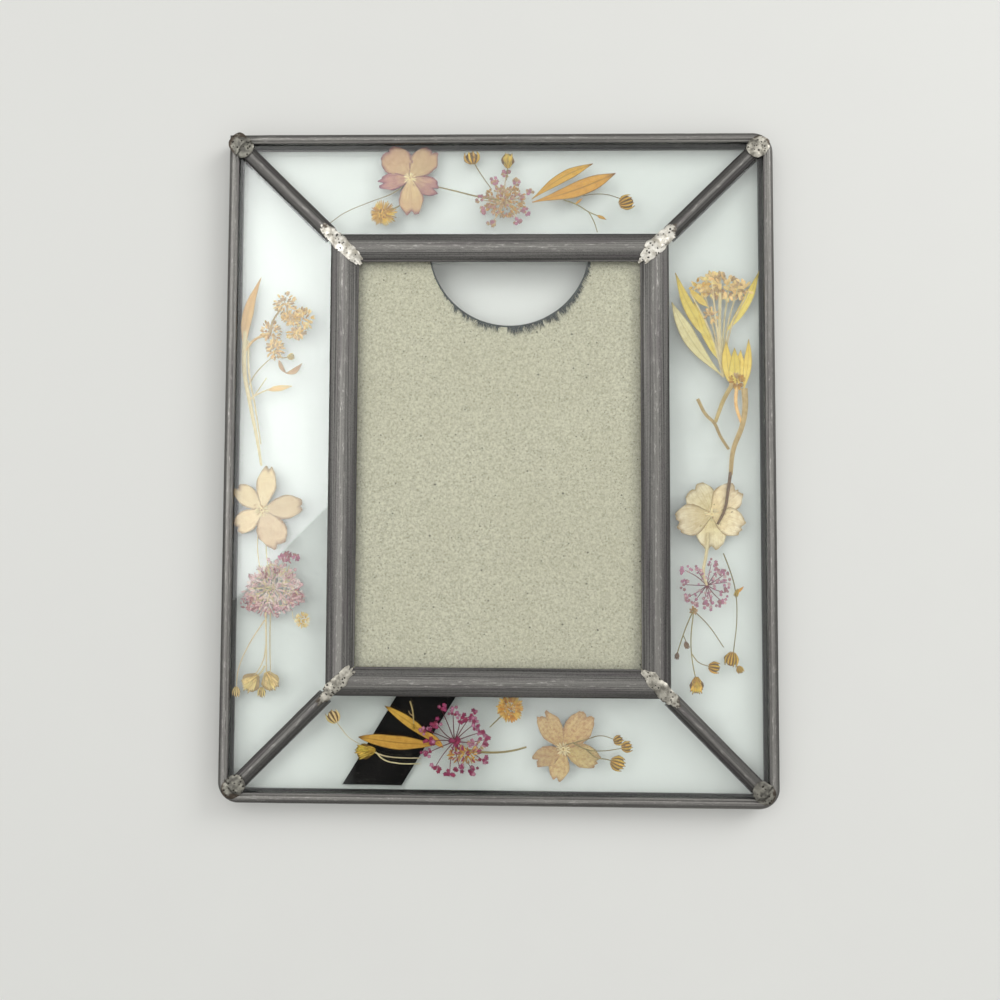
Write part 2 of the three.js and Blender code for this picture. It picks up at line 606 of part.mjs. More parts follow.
function addTopFlowers(plan) {
  addFlower(plan, 'pink_flower_top', UPPER, '#c9a083', [
    petal(-18.8, 60.3, 128, 7.6, 5.9),
    petal(-18.8, 60.3, 54, 7.4, 5.5),
    petal(-18.8, 60.3, -23, 6.2, 3.7),
    petal(-18.8, 60.3, -85, 7.8, 4.3),
    petal(-18.8, 60.3, 192, 6.4, 3.4),
    head(-18.8, 60.3, 1.1, 1.1, 6, 0.1),
    stem([[-19.5, 59.5], [-22, 57.3], [-27.2, 55.1], [-32.5, 52.7], [-35.5, 50.5]], 0.25),
  ]);
  addFlower(plan, 'button_flower_top', LOWER, '#b8923e', [
    head(-24.6, 52.6, 2.9, 2.9, 14, 0.12),
    stem([[-23.5, 53.2], [-21.2, 54.3], [-19.5, 55.6]], 0.35),
  ]);
  addFlower(plan, 'tan_umbel_top', LOWER, '#bb9d78', [
    head(1.2, 55.4, 3.4, 3, 13, 0.16),
    ...umbel(1.2, 55.4, [[20, 5.6], [62, 5], [88, 6.4], [118, 5.2], [150, 5], [176, 5.6],
      [205, 5.4], [240, 6.2], [268, 6.4], [300, 5.4], [332, 5.2]], 0.5, 1.3),
    stem([[0, 55.6], [-4.5, 56.4], [-8.3, 57.4], [-13, 58.6]], 0.4),
  ]);
  addFlower(plan, 'stalked_bud_top', UPPER, '#b07d2c', [
    head(-5.8, 64.8, 1.6, 1.5, 7, 0.14),
    stem([[-5.5, 64], [-4, 61.4], [-1.6, 57.8]], 0.3),
  ]);
  addFlower(plan, 'yellow_bud_top', UPPER, '#c9a23a', [
    bell(1.8, 63.4, 90, 2.9, 3.2),
    stem([[1.8, 63.8], [1.7, 61.6], [1.5, 59.8]], 0.25),
  ]);
  addFlower(plan, 'ochre_leaves_top', UPPER, '#c08a35', [
    leaf(6.8, 55.2, 19.7, 63.5, 2.5),
    leaf(6.8, 55, 24, 61.4, 3.5),
  ]);
  addFlower(plan, 'ribbed_bud_top', LOWER, '#b98a28', [
    head(26.6, 55, 1.7, 1.6, 8, 0.14),
    stem([[26.2, 55.5], [25, 56], [22.4, 56.8], [19.2, 56.8], [17.5, 56.5]], 0.25),
  ]);
  addFlower(plan, 'forked_sprig_top', LOWER, '#a58a3f', [
    stem([[13.5, 55.6], [16, 54.7], [19, 52.8], [20.6, 52.1]], 0.3),
    stem([[18.7, 53], [19.8, 50.8], [20.5, 48.5]], 0.25),
  ]);
}

function addLeftFlowers(plan) {
  addFlower(plan, 'goldenrod_left', LOWER, '#cfa865', [
    leaf(-53.4, 25, -50.1, 39.2, 2.6),
    stem([[-53.3, 27], [-53.2, 19.5], [-52, 13.2], [-50.2, 4], [-49.4, -0.5]], 0.9),
    stem([[-53.2, 26], [-50.5, 26.2], [-47, 27.5]], 0.8),
    head(-46.8, 27.9, 2.7, 2.9, 11, 0.15),
    head(-44.4, 33.2, 2.7, 3.1, 11, 0.16),
    head(-41.8, 30, 3.2, 3.3, 13, 0.15),
    head(-46.5, 24.4, 2.2, 2.2, 9, 0.16),
    stem([[-52.4, 16.6], [-50.6, 19.4], [-47, 22.8]], 0.35),
    stem([[-46.4, 23], [-45.6, 20.8], [-43.8, 19.1], [-40.6, 20.9]], 0.8),
    stem([[-52.2, 13.5], [-50.4, 14.6], [-46.6, 15.9], [-43.3, 16.1]], 0.6),
    stem([[-52.2, 13], [-50.5, 15.2], [-48.6, 18]], 0.4),
  ]);
  addFlower(plan, 'beige_flower_left', UPPER, '#dcc4a2', [
    petal(-48.9, -9.9, 84, 8.8, 3.9),
    petal(-48.9, -9.9, 8, 8, 4.6),
    petal(-48.9, -9.9, -62, 7.2, 5.7),
    petal(-48.9, -9.9, 211, 6.6, 4.2),
    petal(-48.9, -9.9, 128, 7.4, 3.6),
    head(-48.9, -9.9, 1.1, 1.1, 6, 0.1),
  ]);
  addFlower(plan, 'lilac_umbel_left', LOWER, '#c6a7ac', [
    head(-46.4, -26, 4.2, 3.8, 17, 0.14),
    ...umbel(-46.4, -26, [[10, 6], [42, 5.8], [70, 6.6], [96, 5.8], [124, 5.6], [160, 5.4],
      [196, 6.6], [222, 6.4], [250, 5.4], [285, 5.6], [318, 6], [345, 6.4]], 0.6, 1.2),
    stem([[-49.8, -13.5], [-49.9, -18], [-49, -23.5]], 0.3),
    stem([[-48.1, -15], [-48, -18.5], [-47.4, -23]], 0.3),
  ]);
  addFlower(plan, 'yellow_button_left', UPPER, '#d2bd72', [
    head(-40, -32.5, 1.6, 1.5, 8, 0.1),
    stem([[-41, -33.2], [-41.9, -32.2], [-42.2, -30.8]], 0.2),
  ]);
  addFlower(plan, 'bell_buds_left', UPPER, '#dcc084', [
    stem([[-47.8, -31], [-47.6, -37], [-47.4, -44.8]], 0.4),
    stem([[-46.8, -31], [-46.8, -37.5], [-46.5, -44.8]], 0.3),
    stem([[-47.8, -31], [-47.3, -31.2], [-46.8, -31]], 0.4),
    stem([[-47.6, -37.5], [-48.2, -41], [-50.7, -45.2]], 0.3),
    stem([[-48, -32.6], [-51.3, -37.8], [-53.4, -42.8], [-53.8, -47]], 0.3),
    head(-51.2, -46, 2, 2, 9, 0.12),
    head(-47, -45.4, 2, 1.7, 9, 0.12),
    head(-53.8, -47.4, 0.9, 1, 6, 0.12),
  ]);
}

function addRightFlowers(plan) {
  addFlower(plan, 'yellow_spray_right', LOWER, '#d6bf72', [
    head(46, 37.4, 4.9, 3.1, 16, 0.16),
    head(50.3, 36.6, 2.6, 2.3, 9, 0.16),
    head(41.6, 36.8, 2.2, 2, 8, 0.16),
    leaf(43.6, 26.6, 36.7, 40, 3.2),
    leaf(47, 27.6, 54.1, 40.6, 2.6),
    leaf(46.5, 18.3, 35.7, 33.8, 4.2),
    stem([[46, 36], [45.6, 30], [46, 24], [46.5, 18.3]], 1.9),
    stem([[43.6, 28], [44.6, 24], [46.4, 18.5]], 1.4),
    stem([[47, 29], [46.9, 24], [46.6, 18.5]], 1.2),
  ]);
  addFlower(plan, 'calyx_stem_right', UPPER, '#d2b261', [
    head(49.2, 17.8, 2, 2, 8, 0.14),
    leaf(48, 16.6, 47, 25.8, 2.2),
    leaf(48.8, 16.6, 48.8, 24.4, 2.2),
    leaf(49.6, 16.8, 50.1, 24, 2),
    leaf(50.6, 15.6, 51.8, 26.3, 1.9),
    stem([[48.4, 17], [46.4, 13.5], [45.4, 11], [43.8, 8.6]], 0.8),
    stem([[40.9, 13.6], [42.6, 10.6], [43.8, 8.6], [45.2, 6], [47.4, 3.2]], 0.6),
    stem([[49.4, 16.5], [49.2, 12], [50.2, 8.5]], 0.7),
    stem([[50.7, 16], [50.8, 12], [50.2, 8.4], [47.9, 3], [47.2, -3.4], [46.4, -9.2], [44.9, -12.3]], 0.75),
  ]);
  addFlower(plan, 'cream_flower_right', LOWER, '#d9c89c', [
    petal(43.8, -10.2, 124, 7, 6.3),
    petal(43.8, -10.2, 45, 7.9, 5.6),
    petal(43.8, -10.2, -21, 7.3, 5.4),
    petal(43.8, -10.2, -90, 7.4, 6),
    petal(43.8, -10.2, 195, 7.9, 6.3),
    head(43.8, -10.2, 1.1, 1.1, 6, 0.1),
  ]);
  addFlower(plan, 'purple_umbel_right', UPPER, '#a77a83', [
    ...umbel(42.6, -24.8, [[8, 4.4], [32, 4.4], [78, 4.7], [122, 4.1], [146, 5.8], [178, 5],
      [212, 4.5], [232, 4.8], [282, 4.2], [314, 5], [338, 4.2]], 0.35, 1),
    head(42.6, -24.8, 0.8, 0.8, 6, 0.1),
    stem([[43, -14], [42.5, -18.5], [42.1, -22.6], [42.6, -24.8]], 0.55),
  ]);
  addFlower(plan, 'budded_stem_right', LOWER, '#bd9a45', [
    stem([[46.2, -18.2], [47.5, -21.6], [48.6, -25.6], [48.9, -31.2], [48.1, -38.6]], 0.28),
    head(48.9, -26.3, 1, 1, 6, 0.2),
    head(47.7, -39.8, 1.6, 1.5, 8, 0.14),
    stem([[48, -40], [48.8, -41.2], [49.4, -41.9]], 0.3),
    head(49.4, -41.9, 0.85, 0.85, 6, 0.14),
  ]);
  addFlower(plan, 'hanging_buds_right', LOWER, '#b8963c', [
    head(39.9, -29.9, 1, 0.9, 6, 0.2),
    stem([[39.9, -29.9], [38.7, -32.4], [37.4, -35.8], [36.4, -38.8]], 0.35),
    stem([[37.7, -35], [38.1, -35.8], [38.4, -36.8]], 0.25),
    head(38.4, -36.8, 0.75, 1, 6, 0.14),
    stem([[39.9, -29.9], [39.3, -37], [40.2, -43.6], [40.5, -45.2]], 0.28),
    head(40.5, -45.6, 1.8, 1.6, 9, 0.14),
    stem([[39.5, -38.8], [40.8, -40.4], [43.4, -41.4]], 0.24),
    head(44.1, -41.5, 1.4, 1.4, 8, 0.14),
    stem([[39.9, -29.9], [43, -33], [46.1, -37.4]], 0.28),
  ]);
}

function addBottomFlowers(plan) {
  addFlower(plan, 'pale_bud_bottom', UPPER, '#cfc49a', [
    head(-33.5, -52, 1.4, 1.5, 7, 0.12),
    stem([[-33, -52.8], [-32, -54.2], [-30.3, -56.2], [-28, -57.6]], 0.22),
  ]);
  addFlower(plan, 'yellow_bell_bottom', LOWER, '#cfa83d', [
    bell(-25.4, -58.9, 188, 4, 4),
    stem([[-25.8, -59], [-23.2, -60], [-19.5, -60.4], [-15.6, -60.4]], 0.3),
    stem([[-24.8, -59.3], [-23.2, -60.8], [-20.5, -61.5], [-15.7, -61.6]], 0.3),
  ]);
  addFlower(plan, 'ochre_leaves_bottom', LOWER, '#c69a3c', [
    leaf(-13, -57.3, -28.2, -56.4, 2.6),
    leaf(-12.8, -57, -23, -49.9, 2.2),
  ]);
  addFlower(plan, 'forked_twig_bottom', UPPER, '#b9a06a', [
    stem([[-17.8, -48.6], [-17.3, -50.4], [-17, -53.4]], 0.35),
    stem([[-17.2, -51.6], [-17.8, -51.2], [-18.1, -50.6]], 0.25),
  ]);
  addFlower(plan, 'maroon_umbel_bottom', UPPER, '#8a3a50', [
    ...umbel(-8.7, -56.8, [[4, 6.4], [20, 6.2], [42, 5.4], [57, 6.8], [93, 6.4], [112, 7.4],
      [158, 6.6], [204, 6.5], [234, 7], [262, 7.2], [303, 6.9], [327, 7.3]], 0.35, 1.35),
    head(-8.7, -56.8, 0.9, 0.9, 6, 0.1),
    head(-6.6, -58.6, 1.9, 1.5, 8, 0.16),
    stem([[-6, -58.6], [-1.5, -59], [3, -58.6], [6, -57.8]], 0.6),
  ]);
  addFlower(plan, 'button_flower_bottom', LOWER, '#cf9d23', [
    head(2.6, -50, 2.9, 2.8, 14, 0.1),
    stem([[1.4, -51], [0.2, -52.2], [-1.5, -53.9]], 0.35),
  ]);
  addFlower(plan, 'tan_flower_bottom', LOWER, '#cdb57c', [
    petal(13.5, -58.2, 121, 8.8, 4.2),
    petal(13.5, -58.2, 54, 9.2, 5.4),
    petal(13.5, -58.2, -18, 8, 4.6),
    petal(13.5, -58.2, 258, 6.8, 3.6),
    petal(13.5, -58.2, 204, 6.6, 3.7),
    head(13.5, -58.2, 1, 1, 6, 0.1),
  ]);
  addFlower(plan, 'round_buds_bottom', UPPER, '#a8832b', [
    stem([[14, -57.2], [18.1, -56.1], [21, -55.3], [23.8, -56]], 0.28),
    stem([[15.5, -56.9], [18.4, -58.2], [21.4, -58.4], [25.5, -57.8]], 0.25),
    stem([[18, -58], [20.2, -59.8], [22.2, -60.1], [23.6, -60.5]], 0.3),
    head(24.6, -56.2, 1, 1.1, 7, 0.12),
    head(26.3, -57.5, 1.2, 1.1, 7, 0.12),
    head(24.5, -60.9, 1.6, 1.6, 9, 0.12),
  ]);
}

// ---- assembly ----

addMesh(frame, 'outer_came', toGeometry(outerCame()), lead);
for (const sideName of Object.keys(SIDES)) {
  addMesh(frame, `inner_came_${sideName}`, toGeometry(innerCame(sideName)), lead);
}
for (const [cornerName, corner] of Object.entries(CORNERS)) {
  addMesh(frame, `hip_came_${cornerName}`, toGeometry(hipCame(corner)), lead);
}

const grownOuter = outerCame(SOLDER_GAP);
const grownInner = Object.keys(SIDES).map((sideName) => innerCame(sideName, SOLDER_GAP));
Object.entries(CORNERS).forEach(([cornerName, corner], seed) => {
  const outerShape = cornerName === 'upper_left' ? SEAM_LUMP : OUTER_LUMP;
  const outer = cutByCames(solderLump(corner, { ...outerShape, seed }), corner, [grownOuter]);
  const inner = cutByCames(solderLump(corner, { ...INNER_LUMP, seed: seed + 4 }), corner, grownInner);
  addMesh(frame, `outer_solder_${cornerName}`, toGeometry(outer, SOLDER_TOLERANCE), solder);
  addMesh(frame, `inner_solder_${cornerName}`, toGeometry(inner, SOLDER_TOLERANCE), solder);
});

addTopFlowers(addPanel('top'));
addLeftFlowers(addPanel('left'));
addRightFlowers(addPanel('right'));
addBottomFlowers(addPanel('bottom'));

const velvetBase = addCentre();
addMesh(frame, 'easel_tab', easelTab(velvetBase), velvet);
addMesh(frame, 'easel_leg', toGeometry(easelLeg()), velvet);

export default frame;
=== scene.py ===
import math
import random

import bpy
from mathutils import Matrix, Vector, noise
from mathutils.bvhtree import BVHTree


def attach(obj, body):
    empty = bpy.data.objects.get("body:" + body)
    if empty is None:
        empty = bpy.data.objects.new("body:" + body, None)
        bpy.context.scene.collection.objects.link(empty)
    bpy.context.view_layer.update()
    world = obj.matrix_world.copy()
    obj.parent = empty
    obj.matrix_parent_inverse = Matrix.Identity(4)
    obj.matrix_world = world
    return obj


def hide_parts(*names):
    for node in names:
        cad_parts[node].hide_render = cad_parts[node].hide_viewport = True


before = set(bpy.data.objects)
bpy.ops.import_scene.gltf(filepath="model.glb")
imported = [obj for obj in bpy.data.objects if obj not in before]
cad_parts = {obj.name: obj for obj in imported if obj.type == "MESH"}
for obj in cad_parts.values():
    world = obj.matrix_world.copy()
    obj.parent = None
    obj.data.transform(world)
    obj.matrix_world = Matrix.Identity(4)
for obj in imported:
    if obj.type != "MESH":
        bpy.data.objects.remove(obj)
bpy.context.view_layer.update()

mm = 0.001
halfWidth = 57.15
halfHeight = 69.85
slope = math.radians(6)
rise = math.tan(slope)
edgeU = 0.174      # where the slope starts, in from the outer edge
edgeZ = 2.546      # height of the panels' middle plane there
innerInset = 25.2  # heart of the inner came, in from the outer edge
heartZ = 5.176

sides = {
    "right": {"half": halfWidth, "length": 2 * halfHeight, "turn": 0.0},
    "top": {"half": halfHeight, "length": 2 * halfWidth, "turn": math.pi / 2},
    "left": {"half": halfWidth, "length": 2 * halfHeight, "turn": math.pi},
    "bottom": {"half": halfHeight, "length": 2 * halfWidth, "turn": -math.pi / 2},
}
corners = {
    "upper_left": (-1, 1), "upper_right": (1, 1),
    "lower_right": (1, -1), "lower_left": (-1, -1),
}


def tint(code):
    # "#rrggbb" as a linear colour
    parts = [int(code[i:i + 2], 16) / 255 for i in (1, 3, 5)]
    linear = [c / 12.92 if c < 0.04045 else ((c + 0.055) / 1.055) ** 2.4 for c in parts]
    return (*linear, 1.0)


def deselectAll():
    if bpy.context.object and bpy.context.object.mode != "OBJECT":
        bpy.ops.object.mode_set(mode="OBJECT")
    bpy.ops.object.select_all(action="DESELECT")


def makeActive(piece):
    deselectAll()
    piece.select_set(True)
    bpy.context.view_layer.objects.active = piece


def applyModifier(piece, kind, **values):
    makeActive(piece)
    modifier = piece.modifiers.new(kind.title(), kind)
    for key, value in values.items():
        setattr(modifier, key, value)
    bpy.ops.object.modifier_apply(modifier=modifier.name)


def tidyMesh(piece, angle, merge=0.002 * mm):
    # close doubles, turn the normals outward, smooth what is nearly flat
    makeActive(piece)
    bpy.ops.object.mode_set(mode="EDIT")
    bpy.ops.mesh.select_all(action="SELECT")
    bpy.ops.mesh.remove_doubles(threshold=merge)
    bpy.ops.mesh.normals_make_consistent(inside=False)
    bpy.ops.object.mode_set(mode="OBJECT")
    bpy.ops.object.shade_smooth_by_angle(angle=math.radians(angle))


def roughen(piece, size, strength):
    # uneven wear: clouds push the surface in and out
    texture = bpy.data.textures.new(piece.name + "_clouds", "CLOUDS")
    texture.noise_scale = size
    texture.noise_depth = 3
    applyModifier(piece, "DISPLACE", texture=texture, strength=strength, mid_level=0.5, texture_coords="GLOBAL")


def joinParts(parts, name):
    deselectAll()
    for part in parts:
        part.select_set(True)
    bpy.context.view_layer.objects.active = parts[0]
    bpy.ops.object.join()
    whole = bpy.context.object
    whole.name = name
    whole.data.name = name
    return whole


def standIn(piece, body, slotName, *nodes):
    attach(piece, body)
    if nodes:
        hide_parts(*nodes)


def startMaterial(name):
    material = bpy.data.materials.new(name)
    material.use_nodes = True
    return material


def addNode(material, kind, inputs=None, **values):
    tree = material.node_tree
    node = tree.nodes.new(kind)
    for key, value in values.items():
        setattr(node, key, value)
    for key, value in (inputs or {}).items():
        if isinstance(value, bpy.types.NodeSocket):
            tree.links.new(value, node.inputs[key])
        else:
            node.inputs[key].default_value = value
    return node


def setShader(material, **inputs):
    shader = material.node_tree.nodes["Principled BSDF"]
    for key, value in inputs.items():
        socket = shader.inputs[key.replace("_", " ")]
        if isinstance(value, bpy.types.NodeSocket):
            material.node_tree.links.new(value, socket)
        else:
            socket.default_value = value


def objectPoint(material):
    return addNode(material, "ShaderNodeTexCoord").outputs["Object"]


def pieceVector(material, name):
    return addNode(material, "ShaderNodeAttribute", attribute_name=name).outputs["Vector"]


def stretched(material, vector, scale):
    return addNode(material, "ShaderNodeMapping", {"Vector": vector, "Scale": scale}).outputs["Vector"]


def noiseOf(material, vector, scale, detail=3.0, roughness=0.55):
    node = addNode(material, "ShaderNodeTexNoise",
                   {"Vector": vector, "Scale": scale, "Detail": detail, "Roughness": roughness})
    return node.outputs["Fac"]


def cellsOf(material, vector, scale):
    return addNode(material, "ShaderNodeTexVoronoi", {"Vector": vector, "Scale": scale}).outputs["Distance"]


def spread(material, value, low, high, toLow=0.0, toHigh=1.0):
    # maps low..high to toLow..toHigh
    node = addNode(material, "ShaderNodeMapRange", {
        "Value": value, "From Min": low, "From Max": high, "To Min": toLow, "To Max": toHigh})
    return node.outputs["Result"]


def calc(material, operation, a, b=0.0):
    node = addNode(material, "ShaderNodeMath", {0: a, 1: b}, operation=operation)
    return node.outputs[0]


def blendColour(material, factor, a, b):
    node = addNode(material, "ShaderNodeMix", {"Factor": factor, 6: a, 7: b}, data_type="RGBA")
    return node.outputs[2]


def stain(material, colour, mask, strength, code):
    # a second colour where the mask is bright
    return blendColour(material, calc(material, "MULTIPLY", mask, strength), colour, tint(code))


def bumpOf(material, height, strength, distance):
    node = addNode(material, "ShaderNodeBump", {"Height": height, "Strength": strength, "Distance": distance})
    return node.outputs["Normal"]


leadLook = {"lines": (4200, 4200, 22), "broad": (1100, 1100, 60), "nicks": (2400, 2400, 420), "grain": 4200.0,
            "metal": 0.8, "relief": 0.04 * mm, "tarnish": "#5e565a", "scuffAndGlint": "#d2cfc9", "pit": "#1f1e1d"}


def makeLead(name, dark, light, shine):
    # dark grey lead: fine lines along the strip, a painted highlight along the crown with bright specks that are partly
    # rubbed metal and partly painted glints, and pits
    lead = startMaterial(name)
    strip = pieceVector(lead, "strip")
    lines = noiseOf(lead, stretched(lead, strip, leadLook["lines"]), 1.0, 3.0, 0.6)
    broad = noiseOf(lead, stretched(lead, strip, leadLook["broad"]), 1.0, 2.0)
    nicks = noiseOf(lead, stretched(lead, strip, leadLook["nicks"]), 1.0, 4.0, 0.75)
    grain = noiseOf(lead, objectPoint(lead), leadLook["grain"], 3.0, 0.75)
    crown = addNode(lead, "ShaderNodeSeparateXYZ", {0: pieceVector(lead, "crown")}).outputs[0]
    crown = spread(lead, crown, 0.25, 1.0)
    pits = spread(lead, grain, 0.6, 0.7)
    # bright specks only on the crown: rubbed metal and painted glints on the painted highlight
    speckle = calc(lead, "MULTIPLY", spread(lead, nicks, 0.56, 0.68), crown)
    tone = calc(lead, "ADD", calc(lead, "MULTIPLY", lines, 0.6), calc(lead, "MULTIPLY", grain, 0.4))
    # the crown is painted lighter: a painted highlight along the middle of the came
    lighterTone = calc(lead, "ADD", calc(lead, "MULTIPLY", tone, 1.25), calc(lead, "MULTIPLY", crown, 0.26))
    colour = blendColour(lead, spread(lead, lighterTone, 0.5, 1.05), tint(dark), tint(light))
    colour = stain(lead, colour, spread(lead, broad, 0.5, 0.68), 0.3, leadLook["tarnish"])
    colour = stain(lead, colour, speckle, 0.65, leadLook["scuffAndGlint"])
    colour = stain(lead, colour, pits, 0.6, leadLook["pit"])
    height = calc(lead, "ADD", calc(lead, "MULTIPLY", lines, 0.8), calc(lead, "MULTIPLY", pits, -0.6))
    setShader(lead, Base_Color=colour, Metallic=leadLook["metal"],
              Roughness=spread(lead, tone, 0.3, 0.7, shine + 0.14, shine),
              Normal=bumpOf(lead, height, 0.8, leadLook["relief"]))
    return lead


solderLook = {"flow": 620.0, "grain": 3000.0, "holes": 1350.0, "metal": 0.92, "relief": 0.07 * mm,
              "flux": "#4d433a", "pit": "#211d1a"}


def makeSolder(name, bright, dull, fluxHigh):
    # lumpy grey metal with pits, and brown flux where "fluxHigh" is passed
    solder = startMaterial(name)
    place = objectPoint(solder)
    run = addNode(solder, "ShaderNodeSeparateXYZ", {0: pieceVector(solder, "run")})
    flow = noiseOf(solder, place, solderLook["flow"], 4.0, 0.6)
    grain = noiseOf(solder, place, solderLook["grain"], 3.0, 0.7)
    holes = cellsOf(solder, place, solderLook["holes"])
    uneven = calc(solder, "ADD", calc(solder, "MULTIPLY", grain, 0.5), calc(solder, "MULTIPLY", flow, 0.9))
    pits = spread(solder, calc(solder, "ADD", holes, uneven), 0.98, 0.9)
    # brown flux gathers at the rim and towards the corner of the frame
    fluxed = calc(solder, "ADD", calc(solder, "MULTIPLY", flow, 0.8), calc(solder, "MULTIPLY", grain, 0.35))
    fluxed = calc(solder, "ADD", fluxed, calc(solder, "MULTIPLY", run.outputs[0], 0.16))
    fluxed = calc(solder, "ADD", fluxed, calc(solder, "MULTIPLY", calc(solder, "POWER", run.outputs[1], 3.0), 0.2))
    flux = spread(solder, fluxed, fluxHigh, fluxHigh + 0.08)
    colour = blendColour(solder, spread(solder, flow, 0.38, 0.62), tint(bright), tint(dull))
    colour = stain(solder, colour, flux, 0.85, solderLook["flux"])
    colour = stain(solder, colour, pits, 0.9, solderLook["pit"])
    height = calc(solder, "SUBTRACT", calc(solder, "ADD", flow, calc(solder, "MULTIPLY", grain, 0.5)), pits)
    setShader(solder, Base_Color=colour, Metallic=solderLook["metal"],
              Roughness=spread(solder, flow, 0.3, 0.7, 0.3, 0.55),
              Normal=bumpOf(solder, height, 0.6, solderLook["relief"]))
    return solder


glassLook = {"waves": 45.0, "dust": 1900.0, "clouds": 30.0, "green": (0.976, 0.997, 0.989, 1),
             "clear": (0.982, 1.0, 0.993, 1), "relief": 0.3 * mm, "ior": 1.5}


def makeGlass():
    # clear, faintly green glass with a trace of dust
    glass = startMaterial("clear_pane")
    place = objectPoint(glass)
    waves = noiseOf(glass, place, glassLook["waves"], 1.0)
    dust = spread(glass, noiseOf(glass, place, glassLook["dust"], 2.0, 0.7), 0.66, 0.8)
    clouds = noiseOf(glass, place, glassLook["clouds"], 1.0)
    setShader(glass, Base_Color=blendColour(glass, clouds, glassLook["green"], glassLook["clear"]),
              Roughness=calc(glass, "MULTIPLY", dust, 0.1), Normal=bumpOf(glass, waves, 0.03, glassLook["relief"]),
              Transmission_Weight=1.0, IOR=glassLook["ior"])
    return glass


boardLook = {"pulp": 2200.0, "fibres": (4200, 1500, 1500), "clouds": 60.0, "patches": 420.0, "flecks": 1200.0,
             "specks": 700.0, "relief": 0.05 * mm, "dark": "#a5a088", "light": "#ccc8b2", "cloud": "#aea98f",
             "fibre": "#8b846d", "fleck": "#6f6953", "speck": "#332e22"}


def makeBoard():
    # grey pulp with short fibres, brown flecks and a few dark specks
    board = startMaterial("grey_chipboard")
    place = objectPoint(board)
    pulp = noiseOf(board, place, boardLook["pulp"], 3.0, 0.75)
    fibres = noiseOf(board, stretched(board, place, boardLook["fibres"]), 1.0, 3.0, 0.6)
    clouds = noiseOf(board, place, boardLook["clouds"], 2.0)
    thinly = calc(board, "MULTIPLY", noiseOf(board, place, boardLook["patches"], 3.0, 0.7), 0.5)
    flecks = calc(board, "ADD", cellsOf(board, place, boardLook["flecks"]), thinly)
    specks = calc(board, "ADD", cellsOf(board, place, boardLook["specks"]), thinly)
    colour = blendColour(board, spread(board, pulp, 0.38, 0.62), tint(boardLook["dark"]), tint(boardLook["light"]))
    colour = stain(board, colour, spread(board, clouds, 0.35, 0.65), 0.2, boardLook["cloud"])
    colour = stain(board, colour, spread(board, fibres, 0.6, 0.72), 0.3, boardLook["fibre"])
    colour = stain(board, colour, spread(board, flecks, 0.52, 0.42), 0.4, boardLook["fleck"])
    colour = stain(board, colour, spread(board, specks, 0.34, 0.3), 0.9, boardLook["speck"])
    height = calc(board, "ADD", pulp, calc(board, "MULTIPLY", fibres, 0.5))
    setShader(board, Base_Color=colour, Roughness=spread(board, pulp, 0.3, 0.7, 0.82, 0.95),
              Normal=bumpOf(board, height, 0.15, boardLook["relief"]))
    return board


velvetLook = {"nap": 3200.0, "brushed": 120.0, "lint": 2400.0, "relief": 0.15 * mm, "sheen": 0.08,
              "sheenRough": 0.4, "gloss": 0.15, "lighterTone": "#241e1c", "fluff": "#7d776d"}


def makeVelvet(name, deep, light):
    # short black nap, brushed lighter in places, with specks of lint
    velvet = startMaterial(name)
    place = objectPoint(velvet)
    nap = noiseOf(velvet, place, velvetLook["nap"], 3.0, 0.7)
    brushed = noiseOf(velvet, place, velvetLook["brushed"], 2.0)
    lint = spread(velvet, noiseOf(velvet, place, velvetLook["lint"], 1.0), 0.74, 0.8)
    colour = blendColour(velvet, nap, tint(deep), tint(light))
    colour = stain(velvet, colour, spread(velvet, brushed, 0.4, 0.65), 0.3, velvetLook["lighterTone"])
    colour = stain(velvet, colour, lint, 0.5, velvetLook["fluff"])
    setShader(velvet, Base_Color=colour, Roughness=spread(velvet, nap, 0.3, 0.7, 0.9, 1.0),
              Normal=bumpOf(velvet, nap, 0.7, velvetLook["relief"]), Sheen_Weight=velvetLook["sheen"],
              Sheen_Roughness=velvetLook["sheenRough"], Specular_IOR_Level=velvetLook["gloss"])
    return velvet


